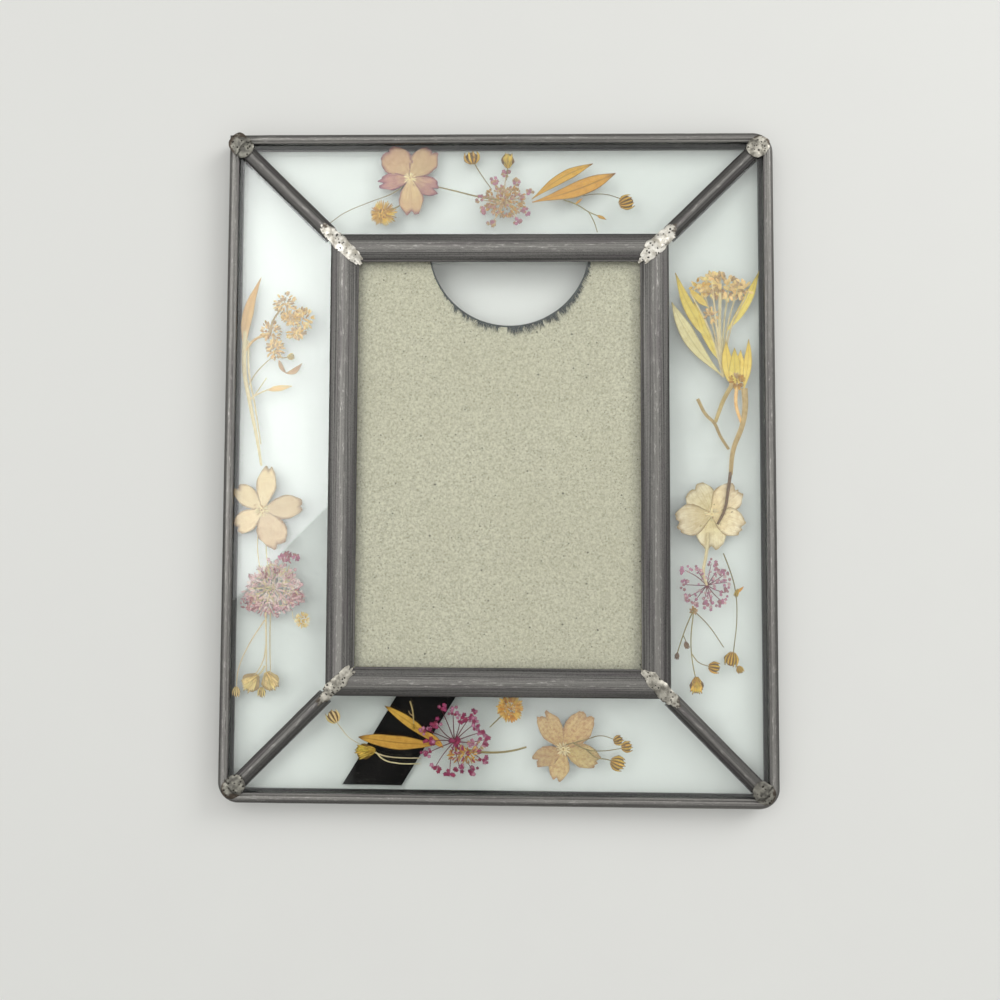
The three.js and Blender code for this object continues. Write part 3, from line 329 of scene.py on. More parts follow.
def makePlant(name, look):
    # dried petals, leaves and stems: "growth" holds (along, across, the part's own number)
    plant = startMaterial("dried_" + name)
    growth = pieceVector(plant, "growth")
    place = objectPoint(plant)
    parts = addNode(plant, "ShaderNodeSeparateXYZ", {0: growth})
    along, across, own = parts.outputs[0], parts.outputs[1], parts.outputs[2]
    veins = noiseOf(plant, stretched(plant, growth, (1.2, 13.0, 40.0)), 1.0, 3.0, 0.6)
    blotch = noiseOf(plant, place, look.get("blotchSize", 900.0), 3.0, 0.6)
    speck = noiseOf(plant, place, 4200.0, 2.0, 0.7)
    rim = calc(plant, "MAXIMUM", calc(plant, "POWER", calc(plant, "ABSOLUTE", across), look.get("rimPower", 7.0)),
               calc(plant, "POWER", along, 9.0))
    colour = blendColour(plant, spread(plant, along, 0.1, 0.9), tint(look["base"]), tint(look["tip"]))
    midrib = spread(plant, calc(plant, "ABSOLUTE", across), 0.12, 0.03)
    colour = stain(plant, colour, spread(plant, blotch, 0.42, 0.66), look.get("blotch", 0.5), look["shade"])
    colour = stain(plant, colour, spread(plant, veins, 0.48, 0.66), look.get("vein", 0.4), look["shade"])
    colour = stain(plant, colour, spread(plant, rim, 0.25, 0.8), look["rim"], look["edge"])
    colour = stain(plant, colour, midrib, look.get("midrib", 0.0), look["edge"])
    colour = stain(plant, colour, spread(plant, speck, 0.6, 0.72), look.get("speck", 0.45), look["edge"])
    # every part has its own slightly different shade
    ownHue = calc(plant, "FRACT", calc(plant, "MULTIPLY", own, 7.3))
    vary = addNode(plant, "ShaderNodeHueSaturation", {
        "Color": colour, "Value": spread(plant, own, 0.0, 1.0, 0.82, 1.16),
        "Hue": spread(plant, ownHue, 0.0, 1.0, 0.49, 0.51)})
    height = calc(plant, "ADD", veins, calc(plant, "MULTIPLY", speck, 0.4))
    setShader(plant, Base_Color=vary.outputs[0], Roughness=spread(plant, veins, 0.3, 0.7, 0.6, 0.8),
              Normal=bumpOf(plant, height, 0.7, 0.06 * mm), Specular_IOR_Level=0.3)
    return plant


lead = makeLead("lead_came_face", "#403f3e", "#9b9994", 0.42)
leadEdge = makeLead("lead_outer_face", "#424140", "#9d9b96", 0.36)
leadHip = makeLead("lead_hip_face", "#363534", "#8b8985", 0.42)
brightSolder = makeSolder("solder_bright", "#e4e1d8", "#a8a397", 0.84)
dullSolder = makeSolder("solder_dull", "#c4c0b4", "#7d7a71", 0.8)
cornerSolder = makeSolder("solder_corner", "#8f8d83", "#5d5b56", 0.74)
glass = makeGlass()
board = makeBoard()
velvet = makeVelvet("black_velvet", "#070606", "#1c1817")
looseVelvet = makeVelvet("loose_velvet_hair", "#2f3534", "#525957")
print("materials of the frame are made")

plants = {name: makePlant(name, look) for name, look in {
    "pinkPetal": {"base": "#d9c190", "tip": "#cba980", "shade": "#b88f6c", "edge": "#84525c", "rim": 0.9, "vein": 0.6},
    "mauvePetal": {"base": "#d3b488", "tip": "#ba8b80", "shade": "#935d6a", "edge": "#733b52", "rim": 0.95,
                   "vein": 0.7},
    "creamStar": {"base": "#e6d6a8", "tip": "#eadcb4", "shade": "#cdb884", "edge": "#a98f5c", "rim": 0.6},
    "beigePetal": {"base": "#e4d0ac", "tip": "#e0c8a0", "shade": "#cbab84", "edge": "#94704e", "rim": 0.85,
                   "speck": 0.6},
    "strawLeaf": {"base": "#e6c284", "tip": "#e0b06a", "shade": "#cc9c5a", "edge": "#a87844", "rim": 0.6,
                  "midrib": 0.5},
    "brownLeaf": {"base": "#c9a57c", "tip": "#bb9274", "shade": "#a0785c", "edge": "#845e48", "rim": 0.7,
                  "midrib": 0.4},
    "creamPetal": {"base": "#dccb96", "tip": "#e6dabb", "shade": "#c0a874", "edge": "#8f7648", "rim": 0.75,
                   "vein": 0.5},
    "tanPetal": {"base": "#c0a66b", "tip": "#c7b07c", "shade": "#a2744c", "edge": "#8a6340", "rim": 0.6, "speck": 0.7,
                 "blotch": 0.7, "blotchSize": 1500.0},
    "yellowRay": {"base": "#cf9c2c", "tip": "#e0c06c", "shade": "#a9761f", "edge": "#b98a34", "rim": 0.4},
    "orangeRay": {"base": "#b9761a", "tip": "#d29a2a", "shade": "#94590f", "edge": "#8d5a16", "rim": 0.5},
    "ochreGrain": {"base": "#a9772f", "tip": "#c79a48", "shade": "#7d5422", "edge": "#6b451d", "rim": 0.3},
    "tanGrain": {"base": "#b08f62", "tip": "#cdb087", "shade": "#86643f", "edge": "#6e5038", "rim": 0.3},
    "paleGrain": {"base": "#e3c384", "tip": "#efd49a", "shade": "#cda45c", "edge": "#b08446", "rim": 0.3},
    "mauveFloret": {"base": "#b68a7c", "tip": "#a8727c", "shade": "#7d4658", "edge": "#6a3248", "rim": 0.6},
    "lilacFloret": {"base": "#e2c6bc", "tip": "#d2abaf", "shade": "#b28590", "edge": "#8b5c70", "rim": 0.5},
    "whiteStrand": {"base": "#e6dcd0", "tip": "#e0d2cc", "shade": "#c6aeaa", "edge": "#a88c90", "rim": 0.2},
    "purpleFloret": {"base": "#c8949e", "tip": "#b97591", "shade": "#934c6c", "edge": "#682848", "rim": 0.6},
    "maroonFloret": {"base": "#963a58", "tip": "#a83c62", "shade": "#641a36", "edge": "#451026", "rim": 0.6},
    "darkRay": {"base": "#6d2c38", "tip": "#7d3a48", "shade": "#481a24", "edge": "#3c1620", "rim": 0.3},
    "ochreLeaf": {"base": "#cd9838", "tip": "#d6a340", "shade": "#b27a28", "edge": "#6f4a1c", "rim": 0.9, "vein": 0.6,
                  "midrib": 0.55},
    "goldLeaf": {"base": "#e0b348", "tip": "#e2b74c", "shade": "#c08c30", "edge": "#7d561e", "rim": 0.85, "vein": 0.6,
                 "midrib": 0.5},
    "yellowLeaf": {"base": "#ead57c", "tip": "#e6c95e", "shade": "#d0ad48", "edge": "#96763a", "rim": 0.7,
                   "midrib": 0.4},
    "creamLeaf": {"base": "#e6daa4", "tip": "#ece0b0", "shade": "#cfbc80", "edge": "#a08850", "rim": 0.7,
                  "midrib": 0.4},
    "budCore": {"base": "#6d4c1c", "tip": "#7c5a22", "shade": "#4c3312", "edge": "#3f2a10", "rim": 0.3, "vein": 0.6},
    "goldBud": {"base": "#c0922c", "tip": "#ecc44c", "shade": "#a87c22", "edge": "#6d4815", "rim": 0.9, "vein": 0.5,
                "rimPower": 2.6},
    "yellowBud": {"base": "#cfa83a", "tip": "#eacb5c", "shade": "#a67f27", "edge": "#6f5019", "rim": 0.85, "vein": 0.7,
                  "rimPower": 2.6},
    "paleBud": {"base": "#dcc27c", "tip": "#f0dc9c", "shade": "#bf9b58", "edge": "#8c6c38", "rim": 0.8, "vein": 0.7,
                "rimPower": 2.6},
    "oliveStem": {"base": "#8d7f4a", "tip": "#9b8c55", "shade": "#6b5f38", "edge": "#5b512f", "rim": 0.2},
    "paleStem": {"base": "#d6c79d", "tip": "#d9cda8", "shade": "#b7a376", "edge": "#9c8859", "rim": 0.2},
    "tanStem": {"base": "#c4ac78", "tip": "#b89f6c", "shade": "#967c4c", "edge": "#7c6439", "rim": 0.2},
    "darkStem": {"base": "#7c5f4a", "tip": "#8a6f52", "shade": "#54402f", "edge": "#463325", "rim": 0.2},
}.items()}
print("materials of the dried plants are made")


cameraSettings = {"place": (-2.73571 * mm, -24.42255 * mm, 272.98758 * mm), "turn": (0.0721378, 0.0328257, 0.0071537),
                  "sensor": 36, "lens": 46.8, "shift": (0.0584, -0.0120), "nearest": 0.01}
camera = bpy.data.objects.new("camera", bpy.data.cameras.new("camera"))
bpy.context.scene.collection.objects.link(camera)
camera.location = cameraSettings["place"]
camera.rotation_euler = cameraSettings["turn"]
camera.data.sensor_width = cameraSettings["sensor"]
camera.data.lens = cameraSettings["lens"]
camera.data.shift_x, camera.data.shift_y = cameraSettings["shift"]
camera.data.clip_start = cameraSettings["nearest"]
bpy.context.scene.camera = camera

tableSize = 1.6
bpy.ops.mesh.primitive_plane_add(size=tableSize)
tableTop = bpy.context.object
tableTop.name = "table_top"
tableWhite = startMaterial("table_white")
tableNoise = noiseOf(tableWhite, objectPoint(tableWhite), 60.0, 3.0)
setShader(tableWhite, Base_Color=blendColour(tableWhite, tableNoise, tint("#e7e7e4"), tint("#e9eae6")),
          Roughness=spread(tableWhite, tableNoise, 0.0, 1.0, 0.5, 0.6))
tableTop.data.materials.append(tableWhite)

# a pale room: bright overhead, darker towards the walls, with one dark upright shape on the near side
studioSettings = {"walls": 0.22, "ceiling": 0.97, "shapeMiddle": 0.05, "shapeEdge": (0.045, 0.085),
                  "shapeEnd": (-0.25, -0.17), "shapeLight": 0.03}
world = bpy.data.worlds.new("studio")
world.use_nodes = True
direction = addNode(world, "ShaderNodeSeparateXYZ", {0: addNode(world, "ShaderNodeTexCoord").outputs["Generated"]})
toRight, toFar, upward = direction.outputs
fromShape = calc(world, "ABSOLUTE", calc(world, "ADD", toRight, studioSettings["shapeMiddle"]))
openSky = calc(world, "MAXIMUM", spread(world, fromShape, *studioSettings["shapeEdge"]),
               spread(world, toFar, *studioSettings["shapeEnd"]))
skyLight = calc(world, "MULTIPLY",
                spread(world, upward, 0.15, 0.85, studioSettings["walls"], studioSettings["ceiling"]),
                spread(world, openSky, 0.0, 1.0, studioSettings["shapeLight"], 1.0))
# a soft glow at the far left, mirrored in the left end of the top panel
glow = calc(world, "MULTIPLY", spread(world, toRight, 0.1, -0.2), spread(world, toFar, 0.32, 0.44))
glow = calc(world, "MULTIPLY", glow, spread(world, upward, 0.74, 0.82))
skyLight = calc(world, "ADD", skyLight, glow)
background = world.node_tree.nodes["Background"]
background.inputs["Color"].default_value = (1.0, 0.998, 0.985, 1)
world.node_tree.links.new(skyLight, background.inputs["Strength"])
bpy.context.scene.world = world
bpy.context.scene.view_settings.view_transform = "Standard"
bpy.context.scene.cycles.blur_glossy = 0.0  # light reaches the table through four sheets of glass


def addSoftBox(name, location, energy, size, rotation=None):
    light = bpy.data.objects.new(name, bpy.data.lights.new(name, "AREA"))
    light.data.energy = energy
    light.data.size = size
    light.location = location
    light.rotation_euler = rotation or (-light.location).to_track_quat("-Z", "Y").to_euler()
    bpy.context.scene.collection.objects.link(light)
    return light


addSoftBox("soft_box_right", (0.62, 0.48, 0.5), energy=2.6, size=0.45)
veil = addSoftBox("soft_box_left", (-0.592, 0.173, 0.6), energy=2.7, size=0.7, rotation=(0, 0, math.radians(43.8)))
veil.visible_diffuse = False  # it is only mirrored in the left panel


# cames
def onSlope(u0, z0, along, normal):
    return (u0 + along * math.cos(slope) - normal * math.sin(slope),
            z0 + along * math.sin(slope) + normal * math.cos(slope))


def arcPoints(x, y, radius, start, end, steps):
    angles = [math.radians(start + (end - start) * i / steps) for i in range(steps + 1)]
    return [(x + radius * math.cos(a), y + radius * math.sin(a)) for a in angles]


def profileFace(name, points):
    # a face in the X-Z plane, drawn as a circle whose points are then put in place
    deselectAll()
    bpy.ops.mesh.primitive_circle_add(vertices=len(points), radius=1, fill_type="NGON")
    bar = bpy.context.object
    bar.name = name
    bar.data.name = name
    for vert, (x, z) in zip(bar.data.vertices, points):
        vert.co = (x * mm, 0, z * mm)
    return bar


def repeatFace(steps, offset):
    bpy.ops.mesh.extrude_repeat(steps=steps, offset=Vector(offset) * mm)


def markStrip(bar, rule, middle, reach):
    # "strip" runs along the came, "crown" is 1 on its middle line and 0 at its edges; the lead paints its highlight by
    # "crown"
    strip = bar.data.attributes.new("strip", "FLOAT_VECTOR", "POINT")
    crown = bar.data.attributes.new("crown", "FLOAT_VECTOR", "POINT")
    for vert in bar.data.vertices:
        place = rule(vert.co)
        strip.data[vert.index].vector = place
        crown.data[vert.index].vector = (max(0, 1 - abs(place[0] - middle * mm) / (reach * mm)), 0, 0)


levelShift = 0.3  # keeps the wear of the level sides unlike that of the upright ones


def outerStrip(co):
    # distance in from the rounded edge, height, and distance along
    fromCorner = outerSettings["bend"] * mm
    dx = abs(co.x) - halfWidth * mm + fromCorner
    dy = abs(co.y) - halfHeight * mm + fromCorner
    away = math.hypot(max(dx, 0), max(dy, 0)) + min(max(dx, dy), 0) - fromCorner
    return (away, co.z, co.y if dx > dy else co.x + levelShift)


def innerStrip(co):
    dx = abs(co.x) - (halfWidth - innerInset) * mm
    dy = abs(co.y) - (halfHeight - innerInset) * mm
    return (max(dx, dy), co.z, co.y if dx > dy else co.x + levelShift)


outerSettings = {"flange": 2.3, "web": 0.8, "channel": 2.1, "half": 2.8, "round": 1.2, "bend": 4.2, "mitreGap": 0.03,
                 "step": 2.2, "turns": 14, "wear": 0.05, "wearSize": 3.2 * mm, "crown": (-1.3, 1.3)}


def outerProfile(s):
    arc = s["half"] - s["round"]
    local = [(s["flange"], s["channel"]), (s["flange"], 2.5), (2.22, 2.6), (2.05, 2.66)]
    local += [(1.9, 2.67), (1.8, 2.6), (1.72, 2.59), (1.64, 2.7), (1.5, 2.76)]  # the thin second line
    local += arcPoints(s["round"], arc, s["round"], 90, 180, 7)
    local += arcPoints(s["round"], -arc, s["round"], 180, 270, 5)
    local += [(1.85, -2.8), (s["flange"], -2.55), (s["flange"], -s["channel"])]
    local += [(s["web"], -s["channel"]), (s["web"], s["channel"])]
    return [onSlope(edgeU, edgeZ, a, n) for a, n in local]


def makeOuterCame(s):
    # one strip from the upper left mitre round three bends and back
    profile = outerProfile(s)
    count = len(profile)
    bar = profileFace("outer_came_strip", profile)
    for vert, (u, z) in zip(bar.data.vertices, profile):
        vert.co = ((-halfWidth + s["bend"]) * mm, (halfHeight - u) * mm, z * mm)
    straightX = 2 * (halfWidth - s["bend"])
    straightY = 2 * (halfHeight - s["bend"])
    makeActive(bar)
    bpy.ops.object.mode_set(mode="EDIT")
    bpy.ops.mesh.select_all(action="SELECT")
    legs = [((1, 0), straightX, (1, 1)), ((0, -1), straightY, (1, -1)), ((-1, 0), straightX, (-1, -1)),
            ((0, 1), straightY, None)]
    for (dx, dy), length, corner in legs:
        steps = round(length / s["step"])
        repeatFace(steps, (dx * length / steps, dy * length / steps, 0))
        if corner:
            centre = (corner[0] * (halfWidth - s["bend"]) * mm, corner[1] * (halfHeight - s["bend"]) * mm, 0)
            bpy.ops.mesh.spin(steps=s["turns"], angle=math.pi / 2, center=centre, axis=(0, 0, 1))
    bpy.ops.object.mode_set(mode="OBJECT")
    verts = bar.data.vertices
    for i, (u, z) in enumerate(profile):  # both ends cut to the mitre
        verts[i].co.x = (-halfWidth + u + s["mitreGap"]) * mm
        verts[len(verts) - count + i].co.y = (halfHeight - u - s["mitreGap"]) * mm
    roughen(bar, s["wearSize"], s["wear"] * mm)
    bpy.ops.object.mode_set(mode="EDIT")
    bpy.ops.mesh.select_all(action="SELECT")
    bpy.ops.mesh.bisect(plane_co=(0, 0, 0), plane_no=(0, 0, 1), use_fill=True, clear_inner=True)
    bpy.ops.object.mode_set(mode="OBJECT")
    markStrip(bar, outerStrip, *s["crown"])
    tidyMesh(bar, 50)
    bar.data.materials.append(leadEdge)
    standIn(bar, "frame", "lead_came", "outer_came")
    return bar


innerSettings = {"flange": 2.85, "topBack": 0.8, "heart": 0.5, "channel": 2.1, "lip": 2.55, "gap": 0.15, "ramp": 0.4,
                 "step": 2.0, "wear": 0.05, "wearSize": 2.6 * mm, "crown": (0.3, 1.9)}
innerTop = [(-1, 2.22), (-0.98, 2.33), (-0.93, 2.43), (-0.84, 2.55), (-0.72, 2.66), (-0.56, 2.77), (-0.38, 2.86),
            (-0.2, 2.92), (-0.17, 2.91), (-0.13, 2.94), (0.0, 2.96), (0.12, 2.955), (0.15, 2.935), (0.19, 2.94),
            (0.36, 2.89), (0.52, 2.81), (0.66, 2.71), (0.77, 2.6), (0.84, 2.46), (0.88, 2.33), (0.93, 2.35), (1, 2.24)]


def makeInnerCame(sideName, s):
    # H section: the outer half follows the panel, the inner half is level
    side = sides[sideName]

    def at(across, normal):
        if across < 0:
            return onSlope(innerInset, heartZ, across, normal)
        return (innerInset + across, heartZ + normal)

    f, h, c = s["flange"], s["heart"], s["channel"]
    back = s["topBack"] if sideName == "top" else f  # the board slides out over the top one
    local = [(-f, c)] + [(a * f, n) for a, n in innerTop] + [(f, c), (h, c), (h, -c), (back, -c), (back, -s["lip"])]
    local += [(0.6 * back, -2.75), (0.2, -2.93), (-0.3, -2.93), (-0.65 * f, -2.72), (-f, -s["lip"]), (-f, -c)]
    local += [(-h, -c), (-h, c)]
    profile = [at(a, n) for a, n in local]
    reach = side["length"] / 2 - s["gap"]
    short = reach - innerInset - s["flange"] - s["ramp"]
    bar = profileFace("inner_came_" + sideName + "_strip", profile)
    for vert, (u, z) in zip(bar.data.vertices, profile):
        vert.co = ((side["half"] - u) * mm, -short * mm, z * mm)
    makeActive(bar)
    bpy.ops.object.mode_set(mode="EDIT")
    bpy.ops.mesh.select_all(action="SELECT")
    steps = round(2 * short / s["step"])
    repeatFace(steps, (0, 2 * short / steps, 0))
    repeatFace(1, (0, 0.1, 0))
    bpy.ops.object.mode_set(mode="OBJECT")
    verts = bar.data.vertices
    count = len(profile)
    for i, (u, z) in enumerate(profile):  # both ends cut to the mitre
        verts[i].co.y = -(reach - u) * mm
        verts[len(verts) - count + i].co.y = (reach - u) * mm
    bar.data.transform(Matrix.Rotation(side["turn"], 4, "Z"))
    roughen(bar, s["wearSize"], s["wear"] * mm)
    markStrip(bar, innerStrip, *s["crown"])
    tidyMesh(bar, 50)
    bar.data.materials.append(lead)
    standIn(bar, "frame", "lead_came", "inner_came_" + sideName)
    return bar


hipSettings = {"flange": 1.57, "heart": 0.4, "channel": 2.1, "lip": 2.55, "start": 5.75, "end": 30.9,
               "step": 1.4, "wear": 0.06, "wearSize": 2.2 * mm, "crown": (0, 0.8)}
hipTop = [(-1, 2.22), (-0.94, 2.4), (-0.8, 2.56), (-0.6, 2.7), (-0.34, 2.83), (-0.16, 2.89), (0, 2.91), (0.16, 2.89),
          (0.34, 2.83), (0.6, 2.7), (0.8, 2.56), (0.94, 2.4), (1, 2.22)]


def makeHipCame(cornerName, s):
    # a narrow H section drawn flat, then laid along the diagonal of its corner
    cx, cy = corners[cornerName]
    fall = rise / math.sqrt(2)
    f, h, c = s["flange"], s["heart"], s["channel"]
    local = [(-f, c)] + [(a * f, n) for a, n in hipTop] + [(f, c), (h, c), (h, -c), (f, -c), (f, -s["lip"])]
    local += [(0.65 * f, -2.78), (0, -2.9), (-0.65 * f, -2.78), (-f, -s["lip"]), (-f, -c), (-h, -c), (-h, c)]
    bar = profileFace("hip_came_" + cornerName + "_strip", [(a, n - abs(a) * fall) for a, n in local])
    makeActive(bar)
    bpy.ops.object.mode_set(mode="EDIT")
    bpy.ops.mesh.select_all(action="SELECT")
    length = s["end"] - s["start"]
    steps = round(length / s["step"])
    repeatFace(steps, (0, length / steps, 0))
    bpy.ops.object.mode_set(mode="OBJECT")
    roughen(bar, s["wearSize"], s["wear"] * mm)
    markStrip(bar, lambda co: (co.x, co.z, co.y), *s["crown"])
    inset = s["start"] / math.sqrt(2)
    along = Vector((-cx, -cy, rise)) / math.sqrt(2)
    across = Vector((along.y, -along.x, 0)).normalized()
    lie = Matrix.Identity(4)
    lie.col[0] = (*across, 0)
    lie.col[1] = (*along, 0)
    lie.translation = Vector((cx * (halfWidth - inset), cy * (halfHeight - inset), edgeZ + (inset - edgeU) * rise)) * mm
    bar.data.transform(lie)
    tidyMesh(bar, 50)
    bar.data.materials.append(leadHip)
    standIn(bar, "frame", "lead_came", "hip_came_" + cornerName)
    return bar


outerCame = makeOuterCame(outerSettings)
innerCames = {name: makeInnerCame(name, innerSettings) for name in sides}
hipCames = {name: makeHipCame(name, hipSettings) for name in corners}
print("cames are made")


# solder
def surfaceOf(pieces):
    verts, faces = [], []
    for piece in pieces:
        base = len(verts)
        verts += [vert.co.copy() for vert in piece.data.vertices]
        faces += [[base + i for i in face.vertices] for face in piece.data.polygons]
    return BVHTree.FromPolygons(verts, faces)


cameSurface = surfaceOf([outerCame, *innerCames.values(), *hipCames.values()])

# how far the metal of a lump strays, bridges and settles, and the came whose height it starts from
solderFlow = {
    "outer": {"came": outerCame, "wobble": 0.1, "reach": 1.8, "smooth": 26},
    "inner": {"came": innerCames["top"], "wobble": 0.3, "reach": 0.45, "smooth": 7},
}
solderSettings = {
    "outer_upper_left": {"along": 3.7, "length": 6.0, "width": 5.0, "height": 0.34, "seed": 1, "metal": cornerSolder},
    "outer_upper_right": {"along": 4.6, "length": 5.4, "width": 4.6, "height": 0.3, "seed": 2, "metal": dullSolder},
    "outer_lower_right": {"along": 4.8, "length": 5.2, "width": 4.6, "height": 0.3, "seed": 3, "metal": cornerSolder},
    "outer_lower_left": {"along": 4.8, "length": 5.6, "width": 4.6, "height": 0.3, "seed": 4, "metal": cornerSolder},
    "inner_upper_left": {"along": 34.6, "length": 12.4, "width": 3.1, "height": 0.2, "seed": 5, "metal": brightSolder},
    "inner_upper_right": {"along": 34.6, "length": 10.8, "width": 3.6, "height": 0.22, "seed": 6,
                          "metal": brightSolder},
    "inner_lower_right": {"along": 34.2, "length": 10.4, "width": 3.2, "height": 0.2, "seed": 7, "metal": dullSolder},
    "inner_lower_left": {"along": 34.4, "length": 10.6, "width": 2.9, "height": 0.2, "seed": 8, "metal": dullSolder},
}


def makeSolderLump(name, s):
    # a drop that ran over the cames: a round grid laid on them, thick in its middle
    ring, cornerName = name.split("_", 1)
    flow = solderFlow[ring]
    nodeName = f"{ring}_solder_{cornerName}"
    cx, cy = corners[cornerName]
    deselectAll()
    bpy.ops.mesh.primitive_grid_add(x_subdivisions=84, y_subdivisions=44, size=2)
    lump = bpy.context.object
    lump.name = nodeName + "_drop"
    lump.data.name = lump.name
    run = lump.data.attributes.new("run", "FLOAT_VECTOR", "POINT")
    centre = Vector((cx * (halfWidth - s["along"] / math.sqrt(2)), cy * (halfHeight - s["along"] / math.sqrt(2)), 0))
    turn = Matrix.Rotation(math.atan2(cy, cx), 3, "Z")
    highest = max(vert.co.z for vert in flow["came"].data.vertices)
    for vert in lump.data.vertices:
        a, b = vert.co.x, vert.co.y
        x = a * math.sqrt(1 - b * b / 2)  # square to disc
        y = b * math.sqrt(1 - a * a / 2)
        rim = min(1.0, math.hypot(x, y))
        ragged = noise.noise((x * 2.2 + s["seed"] * 5, y * 2.2, s["seed"]))
        ragged += 0.5 * noise.noise((x * 6 + s["seed"] * 5, y * 6, s["seed"])) * rim
        wobble = 1 + flow["wobble"] * ragged
        flat = turn @ Vector((x * s["length"] / 2 * wobble, y * s["width"] / 2 * wobble, 0)) + centre
        ground = highest - 0.6 * mm
        for i in range(9):  # the metal bridges narrow gaps: eight rays round the point and one on it
            side = Vector((math.cos(i * math.pi / 4), math.sin(i * math.pi / 4), 0)) * (flow["reach"] if i < 8 else 0)
            hit = cameSurface.ray_cast((flat + side + Vector((0, 0, 20))) * mm, Vector((0, 0, -1)))[0]
            if hit:
                ground = max(ground, hit.z)
        lumpy = 1 + 0.8 * noise.noise((flat.x * 0.7, flat.y * 0.7, s["seed"] * 3.0))
        thick = 0.06 + s["height"] * lumpy * (1 - rim ** 3) ** 0.6
        vert.co = (flat.x * mm, flat.y * mm, ground + thick * mm)
        run.data[vert.index].vector = (x, rim, 0)
    applyModifier(lump, "SMOOTH", factor=0.8, iterations=flow["smooth"])
    roughen(lump, 0.8 * mm, 0.1 * mm)
    applyModifier(lump, "SOLIDIFY", thickness=0.1 * mm, offset=-1)
    tidyMesh(lump, 60)
    lump.data.materials.append(s["metal"])
    standIn(lump, "frame", "solder", nodeName)


for lumpName, lumpSettings in solderSettings.items():
    makeSolderLump(lumpName, lumpSettings)
print("solder is made")


# glass
def finishNode(nodeName, material, s):
    # a solid of the frame kept as it is, with softer edges and its material
    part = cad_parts[nodeName]
    edge = part.modifiers.new(s["edge"], "BEVEL")
    edge.width = s["bevel"]
    edge.segments = s["segments"]
    edge.limit_method = "ANGLE"
    part.data.materials.clear()
    part.data.materials.append(material)


paneSettings = {"edge": "Ground edge", "bevel": 0.12 * mm, "segments": 2}
for paneName in ["centre_glass"] + [f"{side}_panel_{layer}_glass" for side in sides for layer in ("front", "back")]:
    finishNode(paneName, glass, paneSettings)


# backing board, velvet and easel
boardSettings = {"halfX": 31.2, "halfY": 43.9, "notchX": 2.2, "notchY": 45.3, "notchRadius": 16.7,
                 "low": 3.63, "high": 4.83, "bevel": 0.12 * mm}
liningSettings = {**boardSettings, "low": 3.21, "high": 3.61, "bevel": 0.1 * mm}


def makeNotchedSheet(name, s):
    # a flat sheet with a round thumb notch in its top edge
    deselectAll()
    bpy.ops.mesh.primitive_cube_add(size=1, location=(0, 0, 0))
    sheet = bpy.context.object
    sheet.name = name
    sheet.data.name = name
    sheet.data.transform(Matrix.Translation((0, 0, (s["low"] + s["high"]) / 2 * mm))
                         @ Matrix.Diagonal((2 * s["halfX"] * mm, 2 * s["halfY"] * mm, (s["high"] - s["low"]) * mm, 1)))
    bpy.ops.mesh.primitive_cylinder_add(vertices=160, radius=s["notchRadius"] * mm, depth=0.02,
                                        location=(s["notchX"] * mm, s["notchY"] * mm, 0))
    cutter = bpy.context.object
    applyModifier(sheet, "BOOLEAN", operation="DIFFERENCE", object=cutter, solver="EXACT")
    bpy.data.objects.remove(cutter)
    applyModifier(sheet, "BEVEL", width=s["bevel"], segments=2, limit_method="ANGLE")
    tidyMesh(sheet, 30)
    return sheet


backingBoard = makeNotchedSheet("backing_board_sheet", boardSettings)
backingBoard.data.materials.append(board)
standIn(backingBoard, "frame", "chipboard", "backing_board")
velvetBack = makeNotchedSheet("velvet_back_sheet", liningSettings)
velvetBack.data.materials.append(velvet)
standIn(velvetBack, "frame", "velvet", "velvet_back")

easelSettings = {"edge": "Wrapped edge", "bevel": 0.22 * mm, "segments": 3}
for easelName in ("easel_tab", "easel_leg"):
    finishNode(easelName, velvet, easelSettings)

fringeSettings = {"tufts": 125, "hairs": 7, "start": 212, "end": 352, "lean": 282, "short": 0.6, "long": 2.4,
                  "thin": 0.06, "level": 4.88, "rim": 0.17, "seed": 21}


